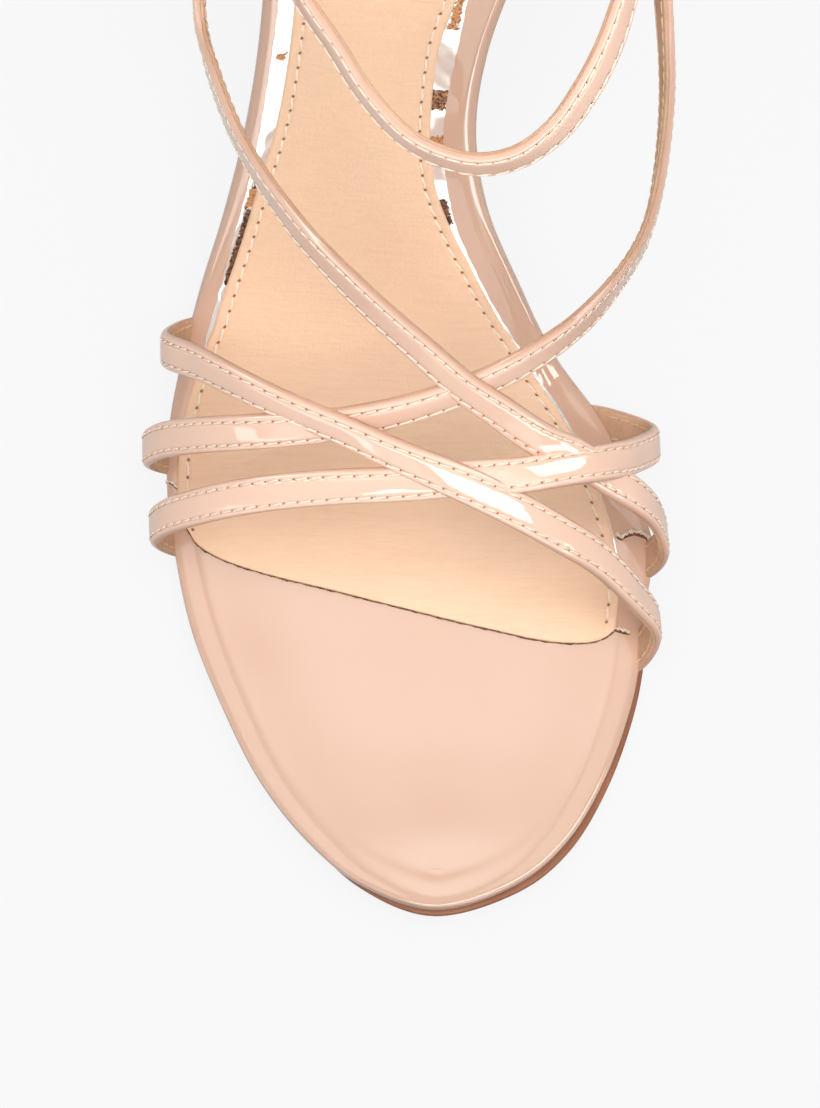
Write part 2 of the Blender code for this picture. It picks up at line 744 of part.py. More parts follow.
def pocket_mesh(strap, at_start):
    """The room that a strap's end takes under the footbed, open towards the outsole."""
    points, along, out = strap_route(strap)
    reach = 2 * STRAP_STEPS + 1
    kept = slice(0, reach) if at_start else slice(len(points) - reach, len(points))
    points, along, out = points[kept].copy(), along[kept], out[kept]
    end = 0 if at_start else -1
    points[end] += (along[end] if not at_start else -along[end]) * POCKET_SPARE
    points += out * POCKET_DEEPER / 2
    thick = STRAP_THICK + 2 * POCKET_SPARE + POCKET_DEEPER
    return loft("pocket", ribbon_rings(points, along, out, STRAP_WIDTH + 2 * POCKET_SPARE, thick))


def cutter(name, mesh, collection):
    """A helper that is cut away from or joined to a part."""
    obj = bpy.data.objects.new(name, mesh)
    collection.objects.link(obj)
    obj.hide_render = True
    obj.display_type = "WIRE"
    return obj


def boolean(obj, other, operation):
    """Cuts the other object from this one, or joins it."""
    modifier = obj.modifiers.new(other.name, "BOOLEAN")
    modifier.operation = operation
    modifier.object = other
    modifier.solver = "EXACT"


def make_upper(parts, cutters, footbed):
    """The crossed straps, joined where they cross, and their pockets in the footbed."""
    first, *others = UPPER_STRAPS
    upper = new_object("upper_straps", strap_mesh(first), PATENT, parts)
    for strap in others:
        boolean(upper, cutter(strap.name, strap_mesh(strap), cutters), "UNION")
    for strap in UPPER_STRAPS:
        ends = [True] if strap.end is None else [True, False]
        for at_start in ends:
            name = f"{strap.name}_pocket_{'start' if at_start else 'end'}"
            boolean(footbed, cutter(name, pocket_mesh(strap, at_start), cutters), "DIFFERENCE")
    return upper


# The ankle strap and its buckle


def set_frame(point, along, out):
    """A frame on a strap: x along it, y across it and z outwards."""
    frame = Matrix.Identity(4)
    for k, axis in enumerate((along, np.cross(out, along), out)):
        frame.col[k] = (*axis, 0.0)
    frame.col[3] = (*point, 1.0)
    return frame


def at_stop(points, along, out, stop):
    """The point, tangent and outward direction of a route at a distance from its start."""
    travelled = travel(points)
    found = [[np.interp(stop, travelled, rows[:, k]) for k in range(3)] for rows in (points, along, out)]
    return np.array(found[0]), unit(found[1]), unit(found[2])


def ankle_route():
    """The ankle strap's middle line, its directions, and the frame of its buckle.

    The frame has its origin on the buckle's bar and x towards the front of the ankle.
    """
    points, along, out = follow(ANKLE_ROWS)
    frame = set_frame(points[0] - along[0] * (FOLD_RADIUS - 0.6), along[0], out[0])
    flat = ANKLE_ROWS[0].lean
    rows = list(ANKLE_ROWS)
    rows += [Row(*in_frame(frame, run.along, 0.0, run.out), flat) for run in BUCKLE_RUN]
    for stop in TAIL_STOPS:
        point, _, away = at_stop(points, along, out, stop)
        rows.append(Row(*(point + away * TAIL_OUT), flat))
    return (*follow(rows), frame)


def in_frame(frame, x, y, z):
    """A point of the buckle's frame, in millimetres along the shoe."""
    return np.array(frame @ Vector((x, y, z)))[:3]


def scene_matrix(frame):
    """The buckle's frame as a matrix of the scene, in metres."""
    matrix = frame.copy()
    matrix.translation = to_scene(np.array(frame.translation))
    return matrix


def bar_mesh(name, frame, radius, half_length, at_x=0.0, at_z=0.0):
    """A round bar across the strap, as a mesh in the scene."""
    bm = bmesh.new()
    turned = scene_matrix(frame) @ Matrix.Translation((at_x * MM, 0.0, at_z * MM))
    turned = turned @ Matrix.Rotation(math.pi / 2, 4, "X")
    bmesh.ops.create_cone(
        bm,
        cap_ends=True,
        segments=16,
        radius1=radius * MM,
        radius2=radius * MM,
        depth=2 * half_length * MM,
        matrix=turned,
    )
    return mesh_from(bm, name)


def block_mesh(name, frame, low, high):
    """A box between two corners of the buckle's frame, as a mesh in the scene."""
    low, high = np.array(low), np.array(high)
    bm = bmesh.new()
    size = Matrix.Diagonal((*((high - low) * MM), 1.0))
    middle = Matrix.Translation(Vector((low + high) / 2 * MM))
    bmesh.ops.create_cube(bm, size=1.0, matrix=scene_matrix(frame) @ middle @ size)
    return mesh_from(bm, name)


def make_ankle_strap(parts, cutters, route):
    """The ankle strap, folded round the buckle's bar, with a hole for the prong."""
    points, along, out, frame = route
    mesh = loft("ankle_strap", ribbon_rings(points, along, out, STRAP_WIDTH, STRAP_THICK))
    strap = new_object("ankle_strap", mesh, PATENT, parts)
    half = STRAP_WIDTH / 2
    fold = bar_mesh("strap_fold", frame, FOLD_RADIUS, half - 0.2)
    boolean(strap, cutter("strap_fold", fold, cutters), "UNION")
    bore = bar_mesh("strap_bore", frame, BUCKLE_WIRE + GAP, half + 1.0)
    boolean(strap, cutter("strap_bore", bore, cutters), "DIFFERENCE")
    slot_half = PRONG_SLOT / 2
    slot = block_mesh(
        "prong_slot", frame, (-FOLD_RADIUS - 1.0, -slot_half, -1.2), (0.4, slot_half, 2.45)
    )
    boolean(strap, cutter("prong_slot", slot, cutters), "DIFFERENCE")
    hole = block_mesh(
        "prong_hole", frame, (HOLE_ALONG[0], -slot_half, 0.4), (HOLE_ALONG[1], slot_half, 4.2)
    )
    boolean(strap, cutter("prong_hole", hole, cutters), "DIFFERENCE")
    return strap


def wire(name, points, radius, closed, finish, collection):
    """A round wire along a route, in the buckle's metal."""
    curve = bpy.data.curves.new(name, "CURVE")
    curve.dimensions = "3D"
    curve.bevel_depth = radius * MM
    curve.bevel_resolution = 2
    curve.use_fill_caps = True
    spline = curve.splines.new("POLY")
    spline.points.add(len(points) - 1)
    for spot, point in zip(spline.points, to_scene(points)):
        spot.co = (*point, 1.0)
    spline.use_cyclic_u = closed
    obj = bpy.data.objects.new(name, curve)
    collection.objects.link(obj)
    material = bpy.data.materials.new(name)
    material.use_nodes = True
    shader = material.node_tree.nodes["Principled BSDF"]
    shader.inputs["Base Color"].default_value = (*finish[0], 1.0)
    shader.inputs["Roughness"].default_value = finish[1]
    shader.inputs["Metallic"].default_value = finish[2]
    curve.materials.append(material)
    return obj


def make_buckle(collection, frame):
    """The buckle's rectangular wire frame and its prong."""
    tilt = math.atan2(BUCKLE_LIFT, BUCKLE_LENGTH)
    corners = []
    inner = BUCKLE_CORNER
    for centre_x, centre_y, start in (
        (-inner, BUCKLE_HALF_HEIGHT - inner, 0.0),
        (inner - BUCKLE_LENGTH, BUCKLE_HALF_HEIGHT - inner, 0.5),
        (inner - BUCKLE_LENGTH, inner - BUCKLE_HALF_HEIGHT, 1.0),
        (-inner, inner - BUCKLE_HALF_HEIGHT, 1.5),
    ):
        for step in range(4):
            angle = (start + step / 6) * math.pi
            x = centre_x + inner * math.cos(angle)
            y = centre_y + inner * math.sin(angle)
            corners.append(in_frame(frame, x * math.cos(tilt), y, -x * math.sin(tilt)))
    wire("buckle_frame", corners, BUCKLE_WIRE, True, BUCKLE_METAL, collection)
    run = smooth([in_frame(frame, r.along, 0.0, r.out) for r in PRONG_RUN], 2)
    wire("buckle_prong", run, PRONG_WIRE, False, BUCKLE_METAL, collection)


def make_loop(name, frame, length, low, high, parts, cutters):
    """A band round one strap or two: a box with a smaller box cut through it along the strap."""
    half = length / 2
    side = STRAP_WIDTH / 2 + LOOP_SPARE
    wall = LOOP_WALL
    band = block_mesh(name, frame, (-half, -side - wall, low - wall), (half, side + wall, high + wall))
    obj = new_object(name, band, PATENT, parts)
    room = block_mesh(f"{name}_room", frame, (-half - 2.0, -side, low), (half + 2.0, side, high))
    boolean(obj, cutter(f"{name}_room", room, cutters), "DIFFERENCE")
    rounded = obj.modifiers.new("rounded", "BEVEL")
    rounded.width = 0.25 * MM
    rounded.segments = 1
    rounded.limit_method = "ANGLE"
    return obj


def frame_on(route, stop):
    """A frame on the ankle strap, at a distance from its start."""
    return set_frame(*at_stop(*route[:3], stop))


def make_loops(parts, cutters, route):
    """The keeper that holds the strap's free end, and the loop on the back of the counter."""
    deep = STRAP_THICK / 2 + LOOP_SPARE
    make_loop("keeper", frame_on(route, KEEPER_STOP), KEEPER_LENGTH, -deep, TAIL_OUT + deep, parts, cutters)
    points = route[0]
    rear = travel(points)[int(np.argmax(points[:, 1]))]
    make_loop("back_loop", frame_on(route, rear), BACK_LOOP_LENGTH, -deep - 0.25, deep, parts, cutters)


def main():
    """Builds the sandal."""
    for old in list(bpy.data.objects):
        bpy.data.objects.remove(old)
    parts = bpy.data.collections.new("stiletto_sandal")
    cutters = bpy.data.collections.new("cutters")
    for collection in (parts, cutters):
        bpy.context.scene.collection.children.link(collection)
    footbed = make_footbed(parts)
    make_outsole(parts)
    make_sock(parts)
    make_heel(parts)
    make_heel_tip(parts)
    make_counter(parts)
    make_upper(parts, cutters, footbed)
    route = ankle_route()
    make_ankle_strap(parts, cutters, route)
    make_buckle(parts, route[3])
    make_loops(parts, cutters, route)


if __name__ == "__main__":
    main()
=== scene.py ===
"""A nude patent strappy stiletto sandal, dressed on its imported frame.

Sizes are in millimetres and become metres where meshes are made. Seen from above, back is the
distance behind the toe tip along the shoe, x points to the inner side of the foot, and z is the
height above the floor. The scene has the toe towards -Y, the inner side towards +X and +Z up.
"""

import logging
import math
from dataclasses import dataclass
from enum import Enum
from typing import Any, Callable, NamedTuple, Optional, Sequence, Union

import bpy
import numpy as np
from mathutils import Matrix, Vector


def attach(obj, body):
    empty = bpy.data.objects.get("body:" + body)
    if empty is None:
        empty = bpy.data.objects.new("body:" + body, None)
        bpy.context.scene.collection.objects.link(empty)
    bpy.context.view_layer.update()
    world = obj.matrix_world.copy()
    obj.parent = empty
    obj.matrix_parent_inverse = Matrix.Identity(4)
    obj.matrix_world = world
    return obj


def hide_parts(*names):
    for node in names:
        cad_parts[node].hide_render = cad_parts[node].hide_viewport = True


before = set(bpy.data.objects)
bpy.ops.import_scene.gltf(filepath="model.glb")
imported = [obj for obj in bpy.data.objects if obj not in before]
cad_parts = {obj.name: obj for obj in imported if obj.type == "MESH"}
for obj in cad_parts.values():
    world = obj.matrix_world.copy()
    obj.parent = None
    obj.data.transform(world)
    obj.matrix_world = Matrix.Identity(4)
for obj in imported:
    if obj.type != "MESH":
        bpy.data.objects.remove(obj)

LOG = logging.getLogger("sandal")
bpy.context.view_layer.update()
MM = 0.001
ASKEW = (0.13, 0.21, 0.97)
BACK_CENTRE = 107.0
BODY = "root"

Array = np.ndarray
Piece = bpy.types.Object
Pair = tuple[float, float]
Triple = tuple[float, float, float]
Colour = Triple


class Side(Enum):
    """The two sides of the foot, with the direction of each along x."""

    OUTER = -1.0
    INNER = 1.0


# Curves and tables


def column(rows: Sequence[Any], name: str) -> Array:
    """One named column of a table."""
    return np.array([getattr(row, name) for row in rows], float)


def unit(vectors: Any) -> Array:
    """The vectors, each made one long."""
    vectors = np.asarray(vectors, float)
    return vectors / np.linalg.norm(vectors, axis=-1, keepdims=True)


def travel(points: Array) -> Array:
    """The distance along a line at each of its points."""
    return np.concatenate([[0.0], np.cumsum(np.linalg.norm(np.diff(points, axis=0), axis=1))])


def ease(low: float, high: float, value: Any) -> Array:
    """A soft step from 0 at low to 1 at high."""
    share = np.clip((np.asarray(value, float) - low) / (high - low), 0.0, 1.0)
    return share * share * (3.0 - 2.0 * share)


def steady(backs: Array, values: Array, at: Any) -> Array:
    """Reads a table with a cubic that never overshoots its rows.

    Args:
        backs: where the table's rows are, rising.
        values: the value of each row.
        at: where to read the table.

    Returns:
        The values there; past an end the end's value holds.
    """
    step = np.diff(backs)
    slope = np.diff(values) / step
    tangent = np.zeros(len(backs))
    for i in range(1, len(backs) - 1):
        if slope[i - 1] * slope[i] > 0:
            first = 2 * step[i] + step[i - 1]
            second = step[i] + 2 * step[i - 1]
            tangent[i] = (first + second) / (first / slope[i - 1] + second / slope[i])
    tangent[0], tangent[-1] = slope[0], slope[-1]
    at = np.clip(at, backs[0], backs[-1])
    i = np.clip(np.searchsorted(backs, at) - 1, 0, len(step) - 1)
    t = (at - backs[i]) / step[i]
    return (
        values[i] * (1 + 2 * t) * (1 - t) ** 2
        + step[i] * tangent[i] * t * (1 - t) ** 2
        + values[i + 1] * t * t * (3 - 2 * t)
        + step[i] * tangent[i + 1] * t * t * (t - 1)
    )


def read(rows: Sequence[Any], name: str, back: Any) -> Array:
    """One column of a table, read at distances behind the toe."""
    return steady(column(rows, "back"), column(rows, name), back)


def smooth(points: Any, steps: int, before: Any = None, after: Any = None) -> Array:
    """Draws a smooth curve through points.

    Args:
        points: the points, as rows.
        steps: samples for each span.
        before: a point that the curve would come from.
        after: a point that the curve would go on to.

    Returns:
        The samples, from the first point to the last.
    """
    points = np.asarray(points, float)
    before = 2 * points[0] - points[1] if before is None else before
    after = 2 * points[-1] - points[-2] if after is None else after
    padded = np.vstack([before, points, after])
    gaps = np.linalg.norm(np.diff(padded, axis=0), axis=1) ** 0.5
    knots = np.concatenate([[0.0], np.cumsum(gaps)])
    found = []
    for i in range(1, len(padded) - 2):
        t0, t1, t2, t3 = knots[i - 1 : i + 3]
        p0, p1, p2, p3 = padded[i - 1 : i + 3]
        for t in np.linspace(t1, t2, steps, endpoint=False):
            a1 = p0 + (p1 - p0) * (t - t0) / (t1 - t0)
            a2 = p1 + (p2 - p1) * (t - t1) / (t2 - t1)
            a3 = p2 + (p3 - p2) * (t - t2) / (t3 - t2)
            b1 = a1 + (a2 - a1) * (t - t0) / (t2 - t0)
            b2 = a2 + (a3 - a2) * (t - t1) / (t3 - t1)
            found.append(b1 + (b2 - b1) * (t - t1) / (t2 - t1))
    found.append(padded[-2])
    return np.array(found)


def resample(at: Any, stops: Any, rows: Array) -> Array:
    """The rows at some stops, read from rows that are known at others."""
    return np.stack([np.interp(at, stops, values) for values in rows.T], axis=-1)


def soften(values: Array, reach: int) -> Array:
    """Averages each value with its neighbours, and keeps both ends.

    Args:
        values: one row for each sample.
        reach: how many neighbours on each side.

    Returns:
        The softened rows.
    """
    kernel = np.hanning(2 * reach + 3)[1:-1]
    kernel /= kernel.sum()
    table = values.reshape(len(values), -1)
    head = 2 * table[0] - table[reach:0:-1]
    tail = 2 * table[-1] - table[-2 : -reach - 2 : -1]
    padded = np.vstack([head, table, tail])
    soft = [np.convolve(padded[:, k], kernel, mode="valid") for k in range(table.shape[1])]
    return np.stack(soft, axis=1).reshape(values.shape)


def bell(away: Any, reach: float) -> Array:
    """A soft bump: 1 where nothing is away, and near 0 past twice the reach."""
    return np.exp(-((away / reach) ** 2))


def from_hole(along: Array, pitch: float) -> Array:
    """How far places along a seam are from their nearest needle hole."""
    return np.abs(along / pitch - np.rint(along / pitch)) * pitch


def mirrored(half: Any) -> Array:
    """A whole section from its right half, from the last point round the left and back to it."""
    right = np.array(half)
    return np.vstack([right[:0:-1] * (-1.0, 1.0), right])


def rounded_box(low: Pair, high: Pair, corner: float, steps: int) -> Array:
    """Draws a rectangle with round corners, from the upper right one round.

    Args:
        low: its lower left corner.
        high: its upper right corner.
        corner: the corners' radius.
        steps: points on each corner.

    Returns:
        The points, as rows.
    """
    left, right = low[0] + corner, high[0] - corner
    foot, head = low[1] + corner, high[1] - corner
    found = []
    for turn, middle in enumerate(((right, head), (left, head), (left, foot), (right, foot))):
        angle = np.linspace(turn, turn + 1.0, steps) * (math.pi / 2)
        found.append(middle + corner * np.stack([np.cos(angle), np.sin(angle)], axis=1))
    return np.vstack(found)


def to_scene(points: Any) -> Array:
    """Millimetres along the shoe to metres in the scene."""
    return (np.asarray(points, float) - (0.0, BACK_CENTRE, 0.0)) * MM


# The line of the sole


class Sides(NamedTuple):
    """A value for each side of the foot, at a distance behind the toe."""

    back: float
    outer: float
    inner: float


class Rise(NamedTuple):
    """The footbed's height at a distance behind the toe, and how far its inner side is rolled up."""

    back: float
    height: float
    roll: float


BED_OUTLINE = (
    Sides(4.5, -8.6, 17.9),
    Sides(11.3, -17.0, 26.0),
    Sides(21.3, -25.0, 32.2),
    Sides(34.7, -31.8, 37.1),
    Sides(46.0, -36.3, 38.9),
    Sides(58.0, -39.0, 39.7),
    Sides(70.0, -40.5, 37.2),
    Sides(81.0, -40.0, 31.9),
    Sides(90.5, -38.0, 24.0),
    Sides(100.5, -35.3, 18.0),
    Sides(112.5, -31.4, 11.8),
    Sides(124.5, -28.3, 9.3),
    Sides(136.0, -26.4, 10.7),
    Sides(150.0, -25.4, 15.8),
    Sides(165.0, -25.2, 21.2),
    Sides(180.0, -25.4, 24.6),
    Sides(195.0, -22.8, 23.2),
    Sides(206.5, -15.4, 16.2),
)
BED_RISE = (
    Rise(0.0, 12.0, 0.0),
    Rise(10.0, 10.3, 0.0),
    Rise(20.0, 9.0, 0.0),
    Rise(30.0, 8.15, 0.0),
    Rise(40.0, 7.8, 0.0),
    Rise(72.0, 7.8, 0.0),
    Rise(84.0, 9.6, 1.0),
    Rise(96.0, 15.0, 4.0),
    Rise(108.0, 23.5, 8.0),
    Rise(120.0, 34.0, 10.0),
    Rise(135.0, 48.0, 9.0),
    Rise(150.0, 61.5, 5.0),
    Rise(165.0, 73.0, 1.0),
    Rise(180.0, 82.0, 0.0),
    Rise(195.0, 88.5, 0.0),
    Rise(213.0, 93.0, 0.0),
)


class SoleShape:
    """The line of the sole: its outline from above and how it climbs from the ball to the heel."""

    TOE_TIP = (4.0, 0.2)
    HEEL_END = (0.5, 213.0)
    STEPS = 12
    BACKS = np.arange(-12.0, 226.0, 0.5)
    TOE_SPRING = -0.17
    HEEL_CLIMB = 0.25
    SOFT = 9

    def __init__(self) -> None:
        """Samples the outline and the climb."""
        self.edges = {side: self._edge(side) for side in Side}
        self.outs = {side: self._outwards(side) for side in Side}
        past = np.maximum(self.BACKS - self.HEEL_END[1], 0.0)
        heights = read(BED_RISE, "height", self.BACKS)
        heights += np.minimum(self.BACKS, 0.0) * self.TOE_SPRING + past * self.HEEL_CLIMB
        self.heights = soften(heights, self.SOFT)
        self.rolls = soften(read(BED_RISE, "roll", self.BACKS), self.SOFT)
        self.slopes = np.arctan(np.gradient(self.heights, self.BACKS))

    def _edge(self, side: Side) -> Array:
        """Draws one edge from the toe tip to the heel's end.

        Args:
            side: of the foot.

        Returns:
            Rows of x and back.
        """
        here, there = ("outer", "inner") if side is Side.OUTER else ("inner", "outer")
        rows = [(getattr(row, here), row.back) for row in BED_OUTLINE]
        first, last = BED_OUTLINE[0], BED_OUTLINE[-1]
        before, after = (getattr(first, there), first.back), (getattr(last, there), last.back)
        return smooth([self.TOE_TIP, *rows, self.HEEL_END], self.STEPS, before, after)

    def _outwards(self, side: Side) -> Array:
        """Finds the direction out of the outline along an edge.

        Args:
            side: of the foot.

        Returns:
            Rows of x and back, one for each sample.
        """
        run = np.gradient(self.edges[side], axis=0)
        out = unit(np.stack([run[:, 1], -run[:, 0]], axis=1)) * side.value
        out[0], out[-1] = (0.0, -1.0), (0.0, 1.0)
        return out

    def edge_x(self, side: Side, back: Any) -> Array:
        """Where an edge is, at a distance behind the toe."""
        return np.interp(back, self.edges[side][:, 1], self.edges[side][:, 0])

    def height(self, back: Any) -> Array:
        """The height of the footbed's top on its middle line."""
        return np.interp(back, self.BACKS, self.heights)

    def slope(self, back: Any) -> Array:
        """The angle that the footbed climbs at."""
        return np.interp(back, self.BACKS, self.slopes)

    def point(self, x: Any, back: Any, depth: Any = 0.0) -> Array:
        """Finds a point at a depth below the footbed's top, square to its climb.

        Args:
            x: across the shoe, towards the inner side.
            back: behind the toe tip.
            depth: below the top; negative is above it.

        Returns:
            x, back and height, in the last axis.
        """
        x, back, depth = np.broadcast_arrays(*(np.asarray(v, float) for v in (x, back, depth)))
        middle = (self.edge_x(Side.OUTER, back) + self.edge_x(Side.INNER, back)) / 2
        roll = np.radians(np.interp(back, self.BACKS, self.rolls))
        slope = self.slope(back)
        z = self.height(back) + (x - middle) * np.tan(roll)
        return np.stack([x, back + depth * np.sin(slope), z - depth * np.cos(slope)], axis=-1)

    def inset(self, side: Side, amount: Any) -> Array:
        """An edge moved in from the outline, as rows of x and back."""
        return self.edges[side] - self.outs[side] * np.atleast_1d(amount)[:, None]


SOLE = SoleShape()


# Modelling steps


class Bench:
    """The modelling steps that every piece is made with."""

    MERGE = 0.012
    SLIVER = 0.002

    @staticmethod
    def clear() -> None:
        """Leaves nothing selected, in object mode."""
        if bpy.context.object is not None and bpy.context.object.mode != "OBJECT":
            bpy.ops.object.mode_set(mode="OBJECT")
        bpy.ops.object.select_all(action="DESELECT")

    @classmethod
    def pick(cls, piece: Piece) -> None:
        """Selects one piece and makes it the active one.

        Args:
            piece: the piece to work on.
        """
        cls.clear()
        piece.select_set(True)
        bpy.context.view_layer.objects.active = piece

    @classmethod
    def sheet(cls, name: str, spots: Array, along: Array, across: Optional[Array] = None) -> Piece:
        """Adds a grid and pulls each of its points to its place.

        Args:
            name: the piece's name.
            spots: the places, by row and column, in millimetres along the shoe.
            along: the second value of the piece's UV map, for each row or each place.
            across: the first value, for each column or each place; the columns' numbers if left out.

        Returns:
            The new piece; its faces look the way of columns crossed with rows.
        """
        rows, columns = spots.shape[:2]
        across = np.arange(columns, dtype=float) if across is None else across
        cls.clear()
        bpy.ops.mesh.primitive_grid_add(
            x_subdivisions=columns - 1, y_subdivisions=rows - 1, size=2.0, calc_uvs=True
        )
        piece = bpy.context.object
        piece.name = name
        mesh = piece.data
        mesh.name = name
        flat = np.empty(len(mesh.vertices) * 3)
        mesh.vertices.foreach_get("co", flat)
        flat = flat.reshape(-1, 3)
        i = np.rint((flat[:, 1] + 1.0) / 2.0 * (rows - 1)).astype(int)
        j = np.rint((flat[:, 0] + 1.0) / 2.0 * (columns - 1)).astype(int)
        mesh.vertices.foreach_set("co", to_scene(spots[i, j]).ravel())
        corners = np.empty(len(mesh.loops), int)
        mesh.loops.foreach_get("vertex_index", corners)
        across, along = np.broadcast_arrays(across, np.reshape(along, (rows, -1)))
        places = np.stack([across[i, j][corners], along[i, j][corners]], axis=1)
        mesh.uv_layers.active.data.foreach_set("uv", places.ravel())
        mesh.update()
        return piece

    @classmethod
    def close(cls, piece: Piece, fill: bool = True) -> None:
        """Merges doubled points, fills open ends and turns the faces outwards.

        Args:
            piece: the piece to close.
            fill: whether open ends are filled.
        """
        cls.pick(piece)
        bpy.ops.object.mode_set(mode="EDIT")
        bpy.ops.mesh.select_all(action="SELECT")
        bpy.ops.mesh.remove_doubles(threshold=cls.MERGE * MM)
        bpy.ops.mesh.dissolve_degenerate(threshold=cls.SLIVER * MM)
        bpy.ops.mesh.select_all(action="SELECT")
        if fill:
            bpy.ops.mesh.fill_holes(sides=0)
            bpy.ops.mesh.select_all(action="SELECT")
        bpy.ops.mesh.normals_make_consistent(inside=False)
        bpy.ops.object.mode_set(mode="OBJECT")

    @classmethod
    def thicken(cls, piece: Piece, thick: float) -> None:
        """Gives an open sheet its thickness, behind its faces.

        Args:
            piece: the sheet.
            thick: in millimetres.
        """
        cls.pick(piece)
        wall = piece.modifiers.new("thickness", "SOLIDIFY")
        wall.thickness = thick * MM
        wall.offset = -1.0
        bpy.ops.object.modifier_apply(modifier=wall.name)

    @classmethod
    def soft_shade(cls, piece: Piece, degrees: float = 50.0) -> None:
        """Shades a piece smooth across edges that turn less than an angle.

        Args:
            piece: the piece to shade.
            degrees: the angle.
        """
        cls.pick(piece)
        bpy.ops.object.shade_smooth_by_angle(angle=math.radians(degrees))
        piece.select_set(False)

    @classmethod
    def gather(cls, name: str, copies: Sequence[Piece]) -> Piece:
        """Joins copies into one piece.

        Args:
            name: the joined piece's name.
            copies: objects that sit at the origin.

        Returns:
            The joined piece.
        """
        cls.clear()
        for copy in copies:
            copy.select_set(True)
        bpy.context.view_layer.objects.active = copies[0]
        bpy.ops.object.join()
        piece = bpy.context.object
        piece.name = name
        piece.data.name = name
        return piece


def tube(name: str, line: Array, radius: Any, sides: int, closed: bool) -> Piece:
    """Draws a round wire along a line.

    Args:
        name: the piece's name.
        line: points of the wire's middle, in millimetres along the shoe.
        radius: of the wire, one value or one for each point.
        sides: points round the wire.
        closed: whether the wire comes back to its first point.

    Returns:
        The closed piece, with the distance round and along it as its UV map.
    """
    if closed:
        run = np.roll(line, -1, axis=0) - np.roll(line, 1, axis=0)
    else:
        run = np.gradient(line, axis=0)
    run = unit(run)
    first = unit(np.cross(run, ASKEW))
    second = np.cross(run, first)
    angle = np.linspace(0.0, 2.0 * math.pi, sides + 1)
    radii = np.broadcast_to(np.asarray(radius, float), len(line))[:, None, None]
    ring = first[:, None] * np.cos(angle)[:, None] + second[:, None] * np.sin(angle)[:, None]
    spots = line[:, None] + ring * radii
    along = travel(line)
    if closed:
        spots = np.concatenate([spots, spots[:1]])
        along = np.append(along, along[-1] + np.linalg.norm(line[0] - line[-1]))
    piece = Bench.sheet(name, spots, along, angle * np.mean(radius))
    Bench.close(piece, fill=not closed)
    return piece


# Finishes


class Value:
    """A socket of a material, with arithmetic."""

    def __init__(self, graph: "Graph", socket: bpy.types.NodeSocket) -> None:
        """Keeps the socket and the graph that it is in."""
        self.graph = graph
        self.socket = socket

    def __add__(self, other: "Number") -> "Value":
        """Sum."""
        return self.graph.math("ADD", self, other)

    def __sub__(self, other: "Number") -> "Value":
        """Difference."""
        return self.graph.math("SUBTRACT", self, other)

    def __rsub__(self, other: "Number") -> "Value":
        """Difference from a number."""
        return self.graph.math("SUBTRACT", other, self)

    def __mul__(self, other: "Number") -> "Value":
        """Product."""
        return self.graph.math("MULTIPLY", self, other)

    def __truediv__(self, other: "Number") -> "Value":
        """Quotient."""
        return self.graph.math("DIVIDE", self, other)

    def __rtruediv__(self, other: "Number") -> "Value":
        """Quotient of a number."""
        return self.graph.math("DIVIDE", other, self)

    def __abs__(self) -> "Value":
        """Size without sign."""
        return self.graph.math("ABSOLUTE", self)

    __radd__ = __add__
    __rmul__ = __mul__

    def step(self, low: float, high: float) -> "Value":
        """A soft step, which falls where low is above high.

        Args:
            low: where it is 0.
            high: where it is 1.

        Returns:
            The step.
        """
        rising = float(low < high)
        ends = {1: min(low, high), 2: max(low, high), 3: 1.0 - rising, 4: rising}
        settings = {"interpolation_type": "SMOOTHSTEP"}
        return self.graph.node("ShaderNodeMapRange", settings, {0: self, **ends})

    def beside(self, output: int) -> "Value":
        """Another output of the same node."""
        return Value(self.graph, self.socket.node.outputs[output])


Number = Union[Value, float]


